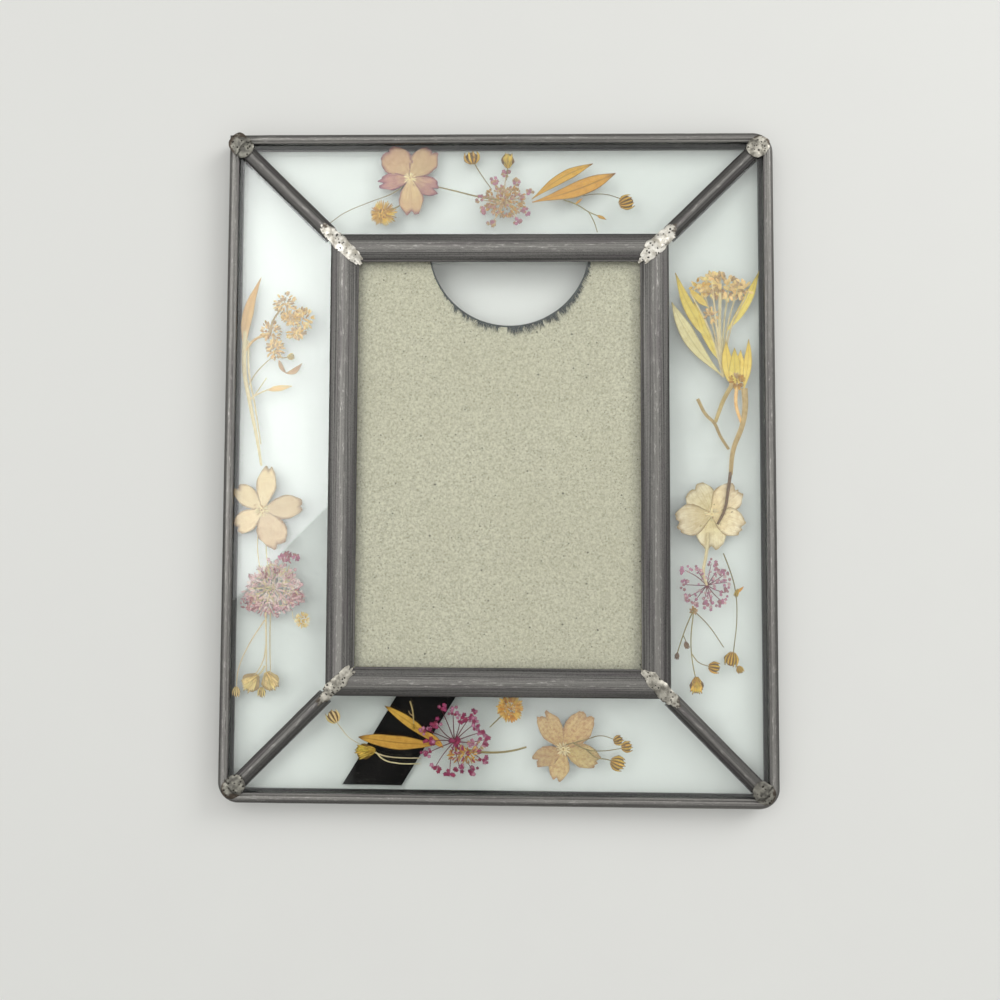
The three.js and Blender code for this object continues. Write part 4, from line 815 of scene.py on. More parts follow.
def makeFringe(s, b):
    # the dark edge of the notch, and tufts of velvet hair that lie from it over the board
    rng = random.Random(s["seed"])
    deselectAll()
    bpy.ops.mesh.primitive_torus_add(major_radius=b["notchRadius"] * mm, minor_radius=s["rim"] * mm,
                                     major_segments=200, minor_segments=8, location=(0, 0, 0))
    edgeRing = bpy.context.object
    edgeRing.data.transform(Matrix.Translation((b["notchX"] * mm, b["notchY"] * mm, b["high"] * mm)))
    makeActive(edgeRing)
    bpy.ops.object.mode_set(mode="EDIT")
    bpy.ops.mesh.select_all(action="SELECT")
    bpy.ops.mesh.bisect(plane_co=(0, (b["halfY"] - 0.3) * mm, 0), plane_no=(0, 1, 0), use_fill=True, clear_outer=True)
    bpy.ops.object.mode_set(mode="OBJECT")
    deselectAll()
    bpy.ops.mesh.primitive_cone_add(vertices=4, radius1=1, radius2=0.15, depth=1, location=(0, 0, 0.5))
    model = bpy.context.object
    model.data.transform(Matrix.Translation((0.5, 0, 0)) @ Matrix.Rotation(math.pi / 2, 4, "Y"))
    model.location = (0, 0, 0)
    hairs = [edgeRing]
    for _ in range(s["tufts"]):
        share = rng.random() ** 0.75
        tuftAngle = math.radians(s["start"] + (s["end"] - s["start"]) * share)
        reach = rng.uniform(s["short"], s["long"]) * (0.35 + 0.65 * math.sin(math.pi * share) ** 0.7)
        tuftLean = 0.5 * tuftAngle + 0.5 * math.radians(s["lean"]) + rng.gauss(0, 0.25)
        for _ in range(s["hairs"]):
            angle = tuftAngle + rng.gauss(0, 0.016)
            root = Vector((b["notchX"] + b["notchRadius"] * math.cos(angle),
                           b["notchY"] + b["notchRadius"] * math.sin(angle), s["level"] + rng.uniform(0, 0.06)))
            if root.y > b["halfY"] - 0.4:
                continue
            hair = model.copy()
            hair.data = model.data.copy()
            hair.data.transform(Matrix.Translation(root * mm) @ Matrix.Rotation(tuftLean + rng.gauss(0, 0.16), 4, "Z")
                                @ Matrix.Rotation(rng.uniform(-0.05, 0.0), 4, "Y")
                                @ Matrix.Diagonal((reach * rng.uniform(0.6, 1.1) * mm, s["thin"] * mm,
                                                   s["thin"] * 0.6 * mm, 1)))
            bpy.context.scene.collection.objects.link(hair)
            hairs.append(hair)
    bpy.data.objects.remove(model)
    fringe = joinParts(hairs, "notch_fringe")
    tidyMesh(fringe, 60, 1e-7)
    fringe.data.materials.append(looseVelvet)
    standIn(fringe, "frame", "velvet")


makeFringe(fringeSettings, boardSettings)
print("glass, board and velvet are made")


# the parts of the pressed flowers are drawn flat in plan, in millimetres
rng = random.Random(7)


def finishPart(part, x, y, degrees, plantName):
    part.data.transform(Matrix.Translation((x, y, 0)) @ Matrix.Rotation(math.radians(degrees), 4, "Z"))
    part.data.materials.append(plants[plantName])
    return part


driedSettings = {"ripple": 0.12, "thick": 0.06, "budHigh": 0.13, "budGroove": 0.12, "strewn": 0.06}


def gridSheet(cells, place, level):
    # a thin sheet: place(s, t) gives its plan, s from 0 to 1 along, t from -1 to 1 across
    deselectAll()
    bpy.ops.mesh.primitive_grid_add(x_subdivisions=cells[0], y_subdivisions=cells[1], size=1)
    part = bpy.context.object
    growth = part.data.attributes.new("growth", "FLOAT_VECTOR", "POINT")
    own = rng.random()
    for vert in part.data.vertices:
        s, t = vert.co.x + 0.5, vert.co.y * 2
        x, y = place(s, t)
        ripple = driedSettings["ripple"] * noise.noise((x * 0.9 + own * 40, y * 0.9, own * 9))
        vert.co = (x, y, level + (ripple + 0.03 * (t * t - 0.3) * s))
        growth.data[vert.index].vector = (s, t, own)
    applyModifier(part, "SOLIDIFY", thickness=driedSettings["thick"], offset=0)
    return part


def petal(x, y, degrees, length, width, plantName, level=0.0, notch=0.1, ends=0.27, neck=0.13, frill=0.04):
    own = rng.random() * 30

    def place(s, t):
        end = 1 - ends * abs(t) ** 3.2 - notch * math.exp(-(t / 0.2) ** 2)
        end += frill * s * (2 * noise.noise((t * 3.1, own, 0.5)) + noise.noise((t * 8.0, own, 2.5)))
        side = neck + (1 - neck) * math.sin(math.pi / 2 * min(1, s / 0.8)) ** 1.35
        side *= 1 - 0.1 * max(0, (s - 0.8) / 0.2) ** 2
        wave = 1 + frill * (1.8 * noise.noise((s * 4.0, own, t)) + noise.noise((s * 11.0, own, t * 2)))
        return (length * s * end - 0.2, t * width / 2 * side * wave)

    return finishPart(gridSheet((22, 16), place, level), x, y, degrees, plantName)


def leaf(x0, y0, x1, y1, width, plantName, level=0.0, bend=0.0, fat=0.85, point=1.1):
    length = math.hypot(x1 - x0, y1 - y0)
    own = rng.random() * 30

    def place(s, t):
        lens = 0.05 + 0.95 * abs(math.sin(math.pi * min(1, s ** fat))) ** point
        sway = bend * length * math.sin(math.pi * s)
        return (length * s, sway + t * width / 2 * lens * (1 + 0.1 * noise.noise((s * 5, own, t))))

    degrees = math.degrees(math.atan2(y1 - y0, x1 - x0))
    return finishPart(gridSheet((20, 6), place, level), x0, y0, degrees, plantName)


def stem(points, width, plantName, level=0.0, taper=0.75, flat=0.5):
    curve = bpy.data.curves.new("stem", "CURVE")
    curve.dimensions = "3D"
    curve.bevel_depth = width / 2
    curve.bevel_resolution = 1
    curve.resolution_u = 6
    curve.use_fill_caps = True
    spline = curve.splines.new("BEZIER")
    spline.bezier_points.add(len(points) - 1)
    for i, (x, y) in enumerate(points):
        point = spline.bezier_points[i]
        point.co = (x, y, 0)
        point.handle_left_type = point.handle_right_type = "AUTO"
        point.radius = 1 - (1 - taper) * i / (len(points) - 1)
    part = bpy.data.objects.new("stem", curve)
    bpy.context.scene.collection.objects.link(part)
    makeActive(part)
    bpy.ops.object.convert(target="MESH")
    part = bpy.context.object
    growth = part.data.attributes.new("growth", "FLOAT_VECTOR", "POINT")
    own = rng.random()
    first = Vector(points[0])
    reach = max(0.1, (Vector(points[-1]) - first).length)
    for vert in part.data.vertices:
        s = min(1.0, (vert.co.xy - first).length / reach)
        growth.data[vert.index].vector = (0.5 * s, 1.4 * vert.co.z / width, own)
        knob = 1 + 0.14 * noise.noise((vert.co.x * 1.3, vert.co.y * 1.3, own * 9))
        vert.co.z = level + vert.co.z * flat * knob
    part.data.materials.append(plants[plantName])
    return part


def bud(x, y, degrees, length, width, plantName, level=0.0, ribs=7):
    # a closed bud on its side: a dark ribbed core under bracts that run from its base to its tip
    angle = math.radians(degrees)
    ahead, across = Vector((math.cos(angle), math.sin(angle))), Vector((-math.sin(angle), math.cos(angle)))
    middle = Vector((x, y))
    parts = [budCore(x, y, degrees, length * 0.9, width * 0.86, level - 0.04, ribs)]
    count = ribs // 2 + 1
    for i in range(count):
        share = 2 * i / (count - 1) - 1
        root = middle - ahead * length * 0.5 + across * share * width * 0.12
        tip = middle + ahead * length * rng.uniform(0.44, 0.56) * (1 - 0.1 * share * share)
        tip += across * share * width * 0.4
        parts.append(leaf(root.x, root.y, tip.x, tip.y, 1.25 * width / ribs, plantName,
                          level + 0.14 - 0.07 * share * share, 0.2 * share * min(1, width / length) ** 2, 1.1, 0.6))
    return joinParts(parts, "bud")


def budCore(x, y, degrees, length, width, level, ribs):
    high = driedSettings["budHigh"]
    deselectAll()
    bpy.ops.mesh.primitive_uv_sphere_add(segments=36, ring_count=16, radius=1)
    part = bpy.context.object
    growth = part.data.attributes.new("growth", "FLOAT_VECTOR", "POINT")
    own = rng.random()
    for vert in part.data.vertices:
        a, b, c = vert.co
        angle = math.atan2(b, a)
        s = (c + 1) / 2
        around = math.hypot(a, b) * (1 + driedSettings["budGroove"] * math.cos(angle * ribs))
        around *= 0.75 + 0.4 * math.sin(math.pi * s ** 0.8) + 0.08 * noise.noise((s * 4, angle, own * 20))
        vert.co = (c * length / 2, around * math.cos(angle) * width / 2, level + around * math.sin(angle) * high)
        growth.data[vert.index].vector = (0.85 * s, angle / math.pi * 0.9, own)
    return finishPart(part, x, y, degrees, "budCore")


def fan(x, y, degrees, length, width, count, plantName, level=0.0):
    # narrow bracts side by side, opening like a fan over a darker backing petal that paints the shade in the gaps
    # between the bracts
    shadowBacking = "tanStem" if plantName == "paleBud" else "budCore"
    parts = [petal(x, y, degrees, length * 0.9, width * 0.86, shadowBacking, level - 0.06, notch=0.0, ends=0.3, neck=0.3)]
    for i in range(count):
        share = (i / (count - 1) - 0.5) * 2
        turn = share * math.degrees(math.atan2(width / 2, length))
        size = length * (1 - 0.12 * share * share) * rng.uniform(0.88, 1.05)
        parts.append(petal(x, y, degrees + turn, size, width / count * 1.15, plantName, level + 0.05 + 0.02 * (i % 3),
                           notch=0.0, ends=0.5, neck=0.3))
    return parts


def seedModel():
    deselectAll()
    bpy.ops.mesh.primitive_ico_sphere_add(subdivisions=2, radius=0.5)
    model = bpy.context.object
    growth = model.data.attributes.new("growth", "FLOAT_VECTOR", "POINT")
    for vert in model.data.vertices:
        growth.data[vert.index].vector = (vert.co.x + 0.5, vert.co.y, 0)
    return model


def floretModel():
    # a small five-lobed flower, dished in its middle
    deselectAll()
    bpy.ops.mesh.primitive_circle_add(vertices=25, radius=0.5, fill_type="TRIFAN")
    model = bpy.context.object
    growth = model.data.attributes.new("growth", "FLOAT_VECTOR", "POINT")
    for vert in model.data.vertices:
        x, y = vert.co.x, vert.co.y
        radius = math.hypot(x, y) * 2
        angle = math.atan2(y, x)
        lobes = 1 - 0.62 * radius * (1 - abs(math.cos(2.5 * angle))) ** 1.3
        vert.co = (x * lobes, y * lobes, 0.25 * radius * (1 - 0.5 * radius))
        growth.data[vert.index].vector = (radius, angle / math.pi * 0.8, 0)
    applyModifier(model, "SOLIDIFY", thickness=0.16, offset=-1)
    return model


models = {"seed": seedModel(), "floret": floretModel()}


def placeCopy(modelName, x, y, level, turn, size, plantName):
    copy = models[modelName].copy()
    copy.data = models[modelName].data.copy()
    own = rng.random()
    for item in copy.data.attributes["growth"].data:
        item.vector.z = own
    copy.data.transform(Matrix.Translation((x, y, level)) @ Matrix.Rotation(turn, 4, "Z")
                        @ Matrix.Rotation(rng.uniform(-0.12, 0.12), 4, "X") @ Matrix.Diagonal((*size, 1)))
    copy.data.materials.append(plants[plantName])
    bpy.context.scene.collection.objects.link(copy)
    return copy


def scatter(x, y, radiusX, radiusY, count, length, width, plantNames, level=0.0, high=0.14, aim=0.25, hollow=0.0,
            model="seed"):
    # copies of one small model strewn over an ellipse, mostly pointing outward
    parts = []
    depth = driedSettings["strewn"]
    for _ in range(count):
        angle = rng.uniform(0, 2 * math.pi)
        share = math.sqrt(rng.uniform(hollow * hollow, 1))
        size = rng.uniform(0.7, 1.25)
        parts.append(placeCopy(
            model, x + radiusX * share * math.cos(angle), y + radiusY * share * math.sin(angle),
            level + rng.uniform(-depth, depth), angle + rng.gauss(0, aim),
            (length * size, width * rng.uniform(0.8, 1.2), high), rng.choice(plantNames)))
    return parts


def rays(x, y, radius, count, length, width, plantNames, level=0.0, start=0.0, turn=360.0):
    # ray florets round a disc
    parts = []
    for i in range(count):
        degrees = start + turn * (i + rng.uniform(-0.3, 0.3)) / count
        angle = math.radians(degrees)
        size = length * rng.uniform(0.8, 1.1)
        parts.append(placeCopy(
            "seed", x + (radius + size / 2) * math.cos(angle), y + (radius + size / 2) * math.sin(angle),
            level + 0.05 * (i % 3), angle, (size, width * rng.uniform(0.8, 1.15), 0.1), rng.choice(plantNames)))
    return parts


def umbel(x, y, spokes, rayWidth, clump, floretSize, perClump, rayPlant, plantNames, level=0.0, bend=0.06):
    # thin rays out of one point, each with a clump of small florets
    parts = []
    for degrees, length in spokes:
        angle = math.radians(degrees)
        tip = (x + math.cos(angle) * length, y + math.sin(angle) * length)
        side = rng.uniform(-bend, bend) * length
        middle = ((x + tip[0]) / 2 - math.sin(angle) * side, (y + tip[1]) / 2 + math.cos(angle) * side)
        parts.append(stem([(x, y), middle, tip], rayWidth, rayPlant, level - 0.05, 0.6))
        for _ in range(perClump):
            spin = rng.uniform(0, 2 * math.pi)
            out = clump * math.sqrt(rng.random())
            size = floretSize * rng.uniform(0.75, 1.15)
            parts.append(placeCopy("floret", tip[0] + out * math.cos(spin), tip[1] + out * math.sin(spin),
                                   level + rng.uniform(-0.03, 0.08), spin, (size, size, 0.35), rng.choice(plantNames)))
    return parts


def starCentre(x, y):
    # pale strands and a small ring in the middle of a five-petal flower
    level = 0.1
    parts = rays(x, y, 0.3, 15, 1.3, 0.3, ["creamStar"], level - 0.04)
    parts += scatter(x, y, 0.9, 0.9, 7, 0.3, 0.2, ["tanGrain"], level + 0.04, 0.1, 2.0, 0.5)
    deselectAll()
    bpy.ops.mesh.primitive_torus_add(major_radius=0.34, minor_radius=0.09, major_segments=24,
                                     minor_segments=8, location=(0, 0, 0))
    ring = bpy.context.object
    growth = ring.data.attributes.new("growth", "FLOAT_VECTOR", "POINT")
    for item in growth.data:
        item.vector = (0.2, 0, 0.9)
    ring.data.transform(Matrix.Translation((x, y, level + 0.09)))
    ring.data.materials.append(plants["creamStar"])
    return parts + [ring]


def corolla(x, y, petals):
    # petals, each (degrees, length, width, plant, level, notch), round the star in their middle
    return [petal(x, y, *values) for values in petals] + starCentre(x, y)


upper, lower = 0.22, -0.22  # middle heights of the two flower layers between the panes
paneReach = 0.42            # how far a flower may rise or sink before it meets a pane


def pressed(name, sideName, slotName, layer, parts):
    # joins the parts of one flower and lays them on the slope of their panel
    whole = joinParts(parts, name + "_dried")
    for vert in whole.data.vertices:  # everything is pressed flat between the panes
        vert.co.z = max(-paneReach - layer, min(paneReach - layer, vert.co.z))
    side = sides[sideName]
    outward = Vector((math.cos(side["turn"]), math.sin(side["turn"]), 0))
    edgeLine = Vector((-outward.y, outward.x, 0))
    pivot = outward * (side["half"] - edgeU)
    lie = (Matrix.Scale(mm, 4) @ Matrix.Translation(pivot + Vector((0, 0, edgeZ)))
           @ Matrix.Rotation(slope, 4, edgeLine) @ Matrix.Translation(Vector((0, 0, layer)) - pivot))
    whole.data.transform(lie)
    tidyMesh(whole, 60, 1e-7)
    standIn(whole, "frame", slotName, name)


# top panel
pressed("pink_flower_top", "top", "dried_pink", upper, [
    *corolla(-18.8, 60.3, [
        (127, 8.4, 6.6, "pinkPetal", -0.05, 0.05), (53, 8.2, 5.9, "pinkPetal", -0.02, 0.05),
        (-25, 6.9, 4.3, "mauvePetal", 0.02, 0.16), (-87, 8.5, 5.2, "pinkPetal", 0.05, 0.13),
        (190, 6.9, 3.8, "mauvePetal", 0.0, 0.18)]),
    stem([(-19.5, 59.5), (-22, 57.3), (-27.2, 55.1), (-32.5, 52.7), (-35.5, 50.5)], 0.2, "oliveStem", -0.08),
])
pressed("button_flower_top", "top", "dried_yellow", lower, [
    *rays(-24.6, 52.6, 1.0, 22, 2.1, 0.34, ["yellowRay", "yellowBud", "ochreGrain"], 0.0, -70, 200),
    *rays(-24.6, 52.6, 0.9, 17, 1.8, 0.36, ["ochreGrain", "yellowRay"], 0.0, 130, 160),
    bud(-24.6, 52.6, 90, 2.8, 2.8, "yellowRay", -0.12, 9),
    *scatter(-24.9, 52.5, 1.8, 1.8, 64, 0.6, 0.35, ["ochreGrain", "orangeRay", "yellowRay", "yellowRay"], 0.02),
    stem([(-23.5, 53.2), (-21.2, 54.3), (-19.5, 55.6)], 0.3, "oliveStem"),
])
pressed("tan_umbel_top", "top", "dried_tan", lower, [
    *scatter(1.2, 55.4, 4.4, 3.6, 260, 0.75, 0.42, ["tanGrain", "ochreGrain", "tanGrain", "mauveFloret"], 0.0),
    *umbel(1.2, 55.4, [(20, 5.4), (62, 4.8), (88, 6.2), (118, 5.0), (176, 5.2), (205, 5.0), (240, 5.6),
                       (300, 5.0), (332, 5.0)],
           0.22, 0.8, 0.8, 9, "tanStem", ["mauveFloret", "purpleFloret", "tanGrain"], 0.05),
    stem([(0, 55.6), (-4.5, 56.4), (-8.3, 57.4), (-13, 58.6)], 0.38, "oliveStem", 0.0),
])
pressed("stalked_bud_top", "top", "dried_ochre", upper, [
    bud(-5.8, 64.8, 100, 3.0, 3.1, "goldBud", 0.0, 7),
    stem([(-5.5, 64), (-4, 61.4), (-1.6, 57.8)], 0.24, "oliveStem"),
])
pressed("yellow_bud_top", "top", "dried_yellow", upper, [
    *fan(1.8, 62.8, 90, 3.4, 3.2, 7, "yellowBud"),
    bud(1.8, 63.3, 90, 1.8, 1.5, "yellowBud", 0.0, 7),
    stem([(1.8, 63.4), (1.7, 61.6), (1.5, 59.8)], 0.24, "oliveStem"),
])
pressed("ochre_leaves_top", "top", "dried_ochre", upper, [
    leaf(6.8, 55.6, 19.7, 63.5, 2.3, "ochreLeaf", -0.05, 0.05, 1.2),
    leaf(6.9, 54.9, 24.4, 61.3, 3.5, "ochreLeaf", 0.04, -0.03, 1.35),
])
pressed("ribbed_bud_top", "top", "dried_ochre", lower, [
    bud(26.6, 55, 20, 3.3, 3.2, "goldBud", 0.0, 9),
    stem([(26.2, 55.5), (25, 56), (22.4, 56.8), (19.2, 56.8), (17.5, 56.5)], 0.2, "oliveStem"),
])
pressed("forked_sprig_top", "top", "dried_olive", lower, [
    stem([(13.5, 55.6), (16, 54.7), (19, 52.8), (20.6, 52.1)], 0.28, "oliveStem"),
    stem([(18.7, 53), (19.8, 50.8), (20.5, 48.5)], 0.22, "oliveStem"),
    leaf(20.4, 52.2, 22.4, 51.2, 0.7, "ochreLeaf"),
    leaf(16, 54.7, 17.4, 55.9, 0.5, "ochreLeaf"),
])
print("top panel is made")

# left panel
goldenrodHeads = [
    (-47.9, 27.6, 2.3, 2.5, ["tanGrain", "paleGrain", "ochreGrain"]),
    (-44.8, 33.6, 2.3, 2.5, ["tanGrain", "paleGrain"]),
    (-43.6, 30.6, 2.0, 1.5, ["paleGrain", "yellowRay", "tanGrain"]),
    (-40.8, 30.4, 2.1, 2.4, ["yellowRay", "paleGrain", "paleBud", "ochreGrain"]),
    (-42.3, 27.3, 2.0, 1.2, ["yellowRay", "paleGrain", "tanGrain"]),
    (-46.9, 24.2, 1.9, 2.2, ["tanGrain", "paleGrain"]),
]
pressed("goldenrod_left", "left", "dried_tan", lower, [
    leaf(-53.6, 24.6, -50.1, 39.4, 2.2, "strawLeaf", 0.05, 0.06, 0.8),
    stem([(-53.4, 28), (-53.4, 19.5), (-52.2, 13.2), (-50.2, 4), (-49.4, -0.5)], 1.1, "paleStem", 0.0, 0.45, 0.3),
    stem([(-52.7, 26), (-52.4, 19.0), (-51.1, 12.6), (-49.6, 4)], 0.5, "paleStem", -0.05, 0.5),
    stem([(-53.2, 24), (-51.5, 26.0), (-48, 27.5)], 0.6, "strawLeaf"),
    stem([(-48, 27.5), (-47.4, 30), (-45.4, 33)], 0.5, "tanStem", 0.05),
    *[part for x, y, rx, ry, tones in goldenrodHeads for part in scatter(
        x, y, rx, ry, 72, 0.9, 0.4, tones, 0.0)],
    stem([(-52.4, 16.6), (-50.6, 19.4), (-47, 22.8)], 0.3, "paleStem"),
    leaf(-46.0, 21.8, -44.2, 18.8, 0.9, "brownLeaf", 0.0, -0.1),
    leaf(-44.4, 18.8, -41.0, 21.0, 1.2, "brownLeaf", 0.02, -0.12),
    stem([(-46.4, 22.6), (-45.2, 22.2), (-44.0, 22.3)], 0.3, "tanStem"),
    bud(-43.4, 22.4, 20, 1.6, 1.3, "paleBud", 0.0, 6),
    stem([(-52.2, 13.5), (-50.4, 14.6), (-46.6, 15.9), (-43.3, 16.1)], 0.35, "paleStem"),
    leaf(-48.4, 15.4, -43.0, 16.2, 1.2, "paleGrain"),
    stem([(-52.2, 13), (-50.5, 15.2), (-48.6, 18)], 0.28, "paleStem"),
])
pressed("beige_flower_left", "left", "dried_cream", upper, [
    *corolla(-48.9, -9.9, [
        (82, 9.6, 4.2, "beigePetal", -0.05, 0.1), (8, 9.0, 5.0, "beigePetal", 0.0, 0.07),
        (-64, 8.6, 6.4, "beigePetal", 0.03, 0.07), (213, 7.2, 4.6, "beigePetal", -0.02, 0.1),
        (138, 8.0, 4.2, "beigePetal", 0.05, 0.1)]),
    *scatter(-49.4, -9.4, 1.3, 1.7, 16, 0.5, 0.22, ["ochreGrain", "tanGrain"], 0.1, 0.08, 2.0, 0.3),
])
pressed("lilac_umbel_left", "left", "dried_lilac", lower, [
    *umbel(-46.4, -26, [(10, 5.0), (42, 4.8), (70, 5.6), (96, 5.0), (124, 4.8), (160, 4.8), (196, 5.6),
                        (222, 5.4), (250, 4.8), (285, 4.8), (318, 5.0), (345, 5.4)],
           0.2, 1.3, 0.75, 8, "paleStem", ["lilacFloret", "whiteStrand"], -0.02),
    *scatter(-46.4, -26, 5.2, 4.9, 330, 1.7, 0.22, ["whiteStrand", "lilacFloret", "paleStem"], 0.04, 0.1, 0.5),
    *scatter(-46.4, -26.6, 6.4, 5.2, 130, 1.2, 0.3, ["lilacFloret", "mauveFloret", "lilacFloret"],
             0.06, 0.12, 0.8, 0.6),
    *scatter(-51.2, -29.2, 2.2, 1.5, 44, 1.0, 0.34, ["lilacFloret", "mauveFloret"], 0.06, 0.12, 1.0),
    *scatter(-41.6, -28.0, 2.0, 1.4, 40, 1.0, 0.34, ["lilacFloret", "mauveFloret"], 0.06, 0.12, 1.0),
    *scatter(-43.2, -19.6, 2.2, 1.0, 34, 1.1, 0.4, ["mauveFloret", "purpleFloret"], 0.08, 0.12, 1.2),
    stem([(-49.8, -13.5), (-49.9, -18), (-49, -23.5)], 0.26, "paleStem"),
    stem([(-48.1, -15), (-48, -18.5), (-47.4, -23)], 0.26, "paleStem"),
])
pressed("yellow_button_left", "left", "dried_yellow", upper, [
    *rays(-40, -32.5, 0.9, 18, 0.85, 0.42, ["creamStar", "paleBud"], -0.03),
    *scatter(-40, -32.5, 1.0, 1.0, 46, 0.35, 0.28, ["yellowRay", "paleBud"], 0.06),
    stem([(-41, -33.2), (-41.9, -32.2), (-42.2, -30.8)], 0.18, "paleStem", -0.05),
])
pressed("bell_buds_left", "left", "dried_yellow", upper, [
    stem([(-47.8, -31), (-47.6, -37), (-47.4, -44.8)], 0.36, "paleStem"),
    stem([(-46.8, -31), (-46.8, -37.5), (-46.5, -44.8)], 0.28, "paleStem"),
    stem([(-47.6, -37.5), (-48.2, -41), (-50.7, -45.2)], 0.28, "paleStem"),
    stem([(-48, -32.6), (-51.3, -37.8), (-53.4, -42.8), (-53.8, -47)], 0.26, "paleStem"),
    stem([(-47.8, -42), (-48.6, -43.4), (-49.8, -44.4)], 0.4, "paleStem", 0.05),
    *fan(-49.4, -44.0, 228, 4.4, 4.8, 9, "paleBud"),
    *fan(-47.3, -43.4, 292, 4.2, 4.6, 8, "paleBud", 0.02),
    bud(-48.4, -47.4, 268, 2.2, 1.6, "paleBud", 0.05, 6),
    bud(-53.8, -47.4, 265, 2.2, 1.6, "paleBud", 0.0, 6),
])
print("left panel is made")

# right panel
pressed("yellow_spray_right", "right", "dried_yellow", lower, [
    *scatter(46, 37.4, 4.7, 2.9, 120, 1.3, 0.7, ["paleGrain", "tanGrain", "paleBud"], 0.0, 0.18),
    *scatter(50.3, 36.6, 2.4, 2.1, 40, 1.2, 0.6, ["paleGrain", "tanGrain"], 0.0, 0.16),
    *scatter(41.6, 36.8, 2.1, 1.9, 36, 1.1, 0.55, ["paleBud", "yellowRay"], 0.0, 0.16),
    *scatter(44.0, 31.2, 1.7, 1.5, 26, 1.0, 0.5, ["tanGrain", "paleGrain"], 0.06, 0.14),
    leaf(43.9, 26.0, 36.5, 40, 2.6, "yellowLeaf", 0.05, 0.05, 0.75),
    leaf(43.4, 33.0, 39.4, 36.8, 1.5, "yellowLeaf", 0.08, 0.03),
    leaf(45.4, 22.0, 40.4, 34.0, 1.9, "yellowLeaf", 0.02, 0.02),
    leaf(47, 27.6, 54.3, 40.8, 1.9, "yellowLeaf", 0.03, -0.05, 1.0),
    leaf(46.5, 18.3, 35.7, 33.8, 3.1, "creamLeaf", -0.04, 0.06, 1.3),
    *[stem([(x, y), (45.9 + (x - 46) * 0.35, 28), (46.5, 18.3)], 0.34, "paleStem", 0.03, 1.4)
      for x, y in ((39.6, 36), (42.2, 37.6), (44.2, 38.6), (46, 39.4), (48, 38.4), (50, 38), (52, 36.4), (44.4, 31))],
    stem([(46, 36), (45.8, 30), (46, 24), (46.5, 18.3)], 0.7, "paleStem", 0.04),
])
pressed("calyx_stem_right", "right", "dried_tan", upper, [
    leaf(48, 16.6, 47, 25.8, 2.4, "yellowLeaf", 0.0, 0.03),
    leaf(48.8, 16.6, 48.8, 24.4, 2.4, "yellowLeaf", 0.04),
    leaf(49.6, 16.8, 50.1, 24, 2.2, "yellowLeaf", -0.03),
    leaf(50.6, 15.6, 51.8, 26.3, 1.7, "yellowLeaf", 0.02, -0.03, 1.0),
    *rays(49.2, 17.4, 0.7, 16, 1.2, 0.6, ["ochreGrain", "tanGrain"], 0.05),
    *scatter(49.2, 17.5, 1.4, 1.4, 30, 0.6, 0.4, ["ochreGrain", "tanGrain"], 0.1),
    stem([(48.4, 17), (46.4, 13.5), (45.4, 11), (44.6, 8.8)], 0.95, "tanStem", 0.0, 0.8, 0.3),
    stem([(40.9, 13.6), (42.6, 10.4), (44.4, 8.6), (45.6, 6), (47.4, 3.2)], 0.75, "tanStem", 0.0, 0.8, 0.3),
    stem([(49.2, 16.5), (49.0, 12.5), (50.2, 8.5)], 0.8, "strawLeaf", 0.0, 0.8, 0.3),
    stem([(50.8, 16), (50.9, 12), (50.3, 8.4), (48.3, 3), (47.7, -2)], 1.35, "tanStem", 0.02, 0.65, 0.3),
    stem([(47.7, -1.5), (47.2, -5), (46.4, -9.2), (44.9, -12.3)], 0.75, "darkStem", 0.04, 0.7),
])
pressed("cream_flower_right", "right", "dried_cream", lower, [
    *corolla(43.8, -10.2, [
        (124, 7.2, 6.6, "creamPetal", -0.05, 0.12), (45, 8.0, 6.2, "creamPetal", 0.0, 0.1),
        (-21, 7.5, 6.0, "creamPetal", 0.03, 0.1), (-90, 7.6, 6.4, "creamPetal", -0.02, 0.12),
        (195, 8.0, 6.6, "creamPetal", 0.05, 0.1)]),
])
pressed("purple_umbel_right", "right", "dried_purple", upper, [
    *umbel(42.6, -24.8, [(8, 4.3), (32, 4.3), (55, 3.4), (78, 4.6), (122, 4.0), (146, 5.4), (178, 4.8), (212, 4.3),
                         (232, 4.6), (258, 3.6), (282, 4.2), (314, 4.8), (338, 4.0)],
           0.22, 1.1, 0.66, 8, "darkRay", ["purpleFloret", "lilacFloret", "purpleFloret", "mauveFloret"]),
    *scatter(42.6, -24.8, 3.2, 3.2, 40, 0.55, 0.5, ["purpleFloret", "lilacFloret"], 0.04, 0.3, 1.0, 0.4, "floret"),
    stem([(43, -14), (42.5, -18.5), (41.9, -22.6), (42.6, -24.8)], 0.75, "paleStem", -0.05),
])
pressed("budded_stem_right", "right", "dried_ochre", lower, [
    stem([(46.2, -18.2), (47.5, -21.6), (48.6, -25.6), (48.9, -31.2), (48.1, -38.6)], 0.26, "oliveStem"),
    bud(48.9, -26.3, 250, 1.8, 0.9, "yellowBud", 0.0, 5),
    leaf(48.9, -26.3, 50.4, -25.0, 0.6, "ochreLeaf"),
    bud(47.7, -39.8, 260, 3.1, 2.8, "goldBud", 0.0, 8),
    stem([(48, -40), (48.8, -41.2), (49.4, -41.9)], 0.26, "oliveStem"),
    bud(49.4, -41.9, 300, 1.7, 1.4, "goldBud", 0.0, 6),
])
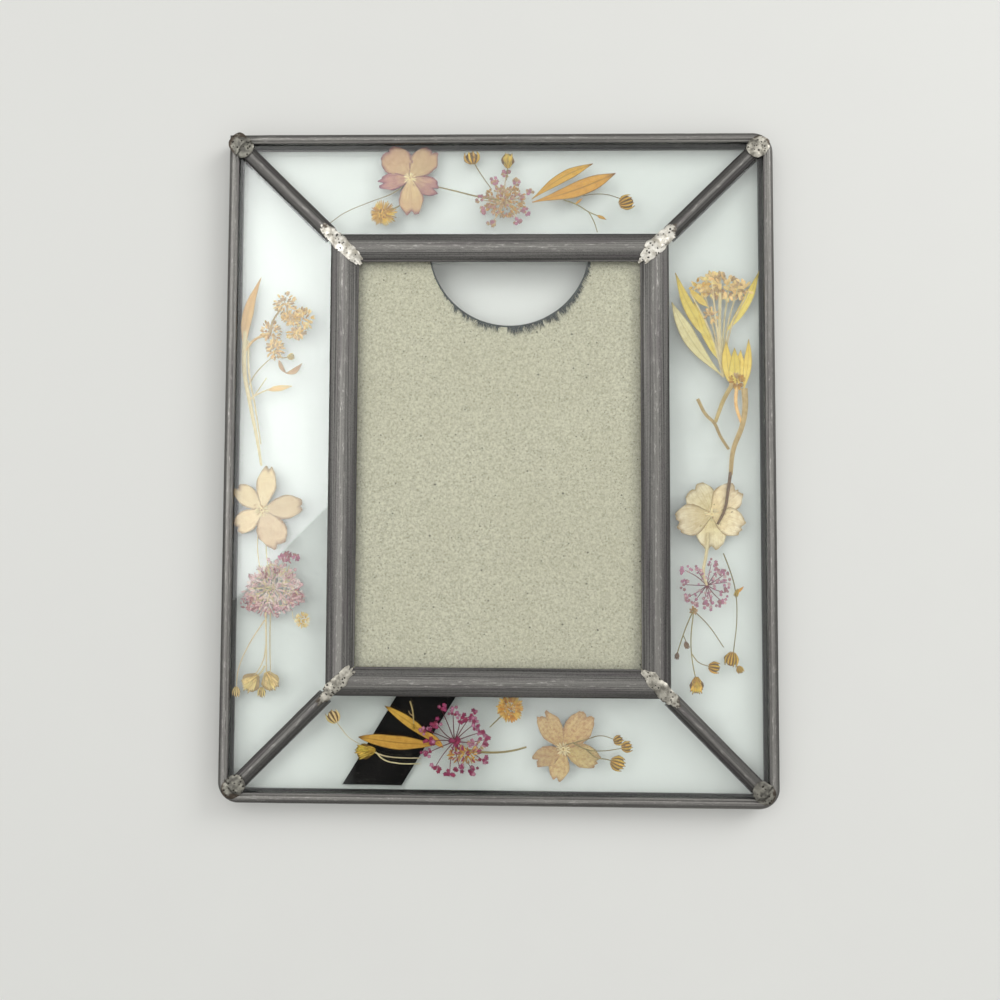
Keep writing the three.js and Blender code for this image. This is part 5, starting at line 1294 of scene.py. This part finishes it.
pressed("hanging_buds_right", "right", "dried_ochre", lower, [
    *scatter(39.9, -29.9, 0.7, 0.7, 16, 0.8, 0.4, ["ochreGrain", "tanGrain"]),
    stem([(39.9, -29.9), (38.7, -32.4), (37.4, -35.8), (36.4, -38.8)], 0.28, "oliveStem"),
    stem([(37.7, -35), (38.1, -35.8), (38.4, -36.8)], 0.22, "oliveStem"),
    bud(38.4, -37.0, 290, 1.7, 1.0, "darkStem", 0.0, 6),
    bud(36.4, -39.2, 260, 1.5, 0.9, "darkStem", 0.0, 6),
    stem([(39.9, -29.9), (39.3, -37), (40.2, -43.6), (40.5, -44.6)], 0.26, "oliveStem"),
    *fan(40.4, -43.6, 272, 3.6, 3.4, 7, "goldBud"),
    bud(40.4, -44.4, 272, 2.0, 1.8, "goldBud", 0.0, 8),
    stem([(39.5, -38.8), (40.8, -40.4), (43.4, -41.4)], 0.22, "oliveStem"),
    bud(44.1, -41.5, 350, 2.6, 2.3, "goldBud", 0.0, 7),
    stem([(39.9, -29.9), (43, -33), (46.1, -37.4)], 0.24, "oliveStem"),
])
print("right panel is made")

# bottom panel
pressed("pale_bud_bottom", "bottom", "dried_cream", upper, [
    bud(-33.5, -52, 120, 2.9, 2.7, "paleBud", 0.0, 7),
    stem([(-33, -52.8), (-32, -54.2), (-30.3, -56.2), (-28, -57.6)], 0.2, "paleStem"),
])
pressed("yellow_bell_bottom", "bottom", "dried_yellow", lower, [
    *fan(-25.2, -58.9, 188, 4.2, 3.8, 7, "yellowBud"),
    bud(-26.0, -59.0, 188, 2.4, 1.9, "yellowBud", 0.0, 8),
    stem([(-25.8, -59), (-23.2, -60), (-19.5, -60.4), (-15.6, -60.4)], 0.28, "paleStem"),
    stem([(-24.8, -59.3), (-23.2, -60.8), (-20.5, -61.5), (-15.7, -61.6)], 0.28, "paleStem"),
])
pressed("ochre_leaves_bottom", "bottom", "dried_ochre", lower, [
    leaf(-12.6, -57.6, -28.4, -56.2, 2.9, "goldLeaf", 0.0, 0.02, 1.1, 0.8),
    leaf(-12.4, -57.4, -23, -49.7, 2.0, "goldLeaf", 0.05, -0.02, 1.1, 0.9),
    leaf(-11.0, -58.2, -14.6, -54.8, 1.4, "goldLeaf", 0.08, 0.0),
])
pressed("forked_twig_bottom", "bottom", "dried_olive", upper, [
    stem([(-17.8, -48.6), (-17.3, -50.4), (-17, -53.4)], 0.3, "tanStem"),
    stem([(-17.2, -51.6), (-17.8, -51.2), (-18.1, -50.6)], 0.22, "tanStem"),
    bud(-17.0, -53.8, 275, 1.1, 0.6, "goldBud", 0.0, 5),
])
pressed("maroon_umbel_bottom", "bottom", "dried_maroon", upper, [
    *umbel(-8.7, -56.8, [(4, 6.2), (20, 6.0), (42, 5.2), (57, 6.6), (75, 5.0), (93, 6.2), (112, 7.2), (135, 5.4),
                         (158, 6.4), (182, 5.2), (204, 6.3), (234, 6.8), (262, 7.0), (282, 5.6), (303, 6.7),
                         (327, 7.1)],
           0.24, 1.1, 0.85, 8, "darkRay", ["maroonFloret", "purpleFloret", "maroonFloret"]),
    *scatter(-8.7, -56.8, 1.0, 1.0, 10, 0.8, 0.8, ["maroonFloret"], 0.04, 0.3, 1.0, 0.0, "floret"),
    *scatter(-6.6, -59.4, 3.4, 1.7, 90, 1.0, 0.32, ["ochreGrain", "yellowRay", "tanGrain", "maroonFloret"], 0.06),
    *scatter(-4.2, -57.4, 1.8, 1.2, 30, 0.8, 0.4, ["purpleFloret", "tanGrain"], 0.06),
    stem([(-6, -58.6), (-1.5, -59), (3, -58.6), (6, -57.8)], 0.5, "oliveStem", -0.05),
])
pressed("button_flower_bottom", "bottom", "dried_yellow", lower, [
    *rays(2.6, -50, 1.2, 34, 1.7, 0.5, ["orangeRay", "yellowRay"]),
    *scatter(2.6, -50, 2.0, 2.0, 120, 0.5, 0.34, ["orangeRay", "yellowRay", "ochreGrain"], 0.06),
    stem([(1.4, -51), (0.2, -52.2), (-1.5, -53.9)], 0.3, "oliveStem"),
])
pressed("tan_flower_bottom", "bottom", "dried_tan", lower, [
    *corolla(13.5, -58.2, [
        (121, 8.8, 4.8, "tanPetal", -0.05, 0.1), (54, 9.2, 5.8, "tanPetal", 0.0, 0.08),
        (-18, 8, 5.0, "tanPetal", 0.03, 0.1), (258, 6.9, 4.2, "tanPetal", -0.02, 0.12),
        (204, 6.7, 4.2, "tanPetal", 0.05, 0.12)]),
])
pressed("round_buds_bottom", "bottom", "dried_ochre", upper, [
    stem([(14, -57.2), (18.1, -56.1), (21, -55.3), (23.8, -56)], 0.22, "oliveStem"),
    stem([(15.5, -56.9), (18.4, -58.2), (21.4, -58.4), (25.5, -57.8)], 0.22, "oliveStem"),
    stem([(18, -58), (20.2, -59.8), (22.2, -60.1), (23.6, -60.5)], 0.24, "oliveStem"),
    bud(24.6, -56.2, 20, 2.1, 2.0, "goldBud", 0.0, 7),
    bud(26.3, -57.5, 10, 2.3, 2.2, "goldBud", 0.03, 7),
    bud(24.5, -60.9, 340, 3.1, 3.0, "goldBud", 0.0, 8),
])
print("bottom panel is made")

for model in models.values():
    bpy.data.objects.remove(model)
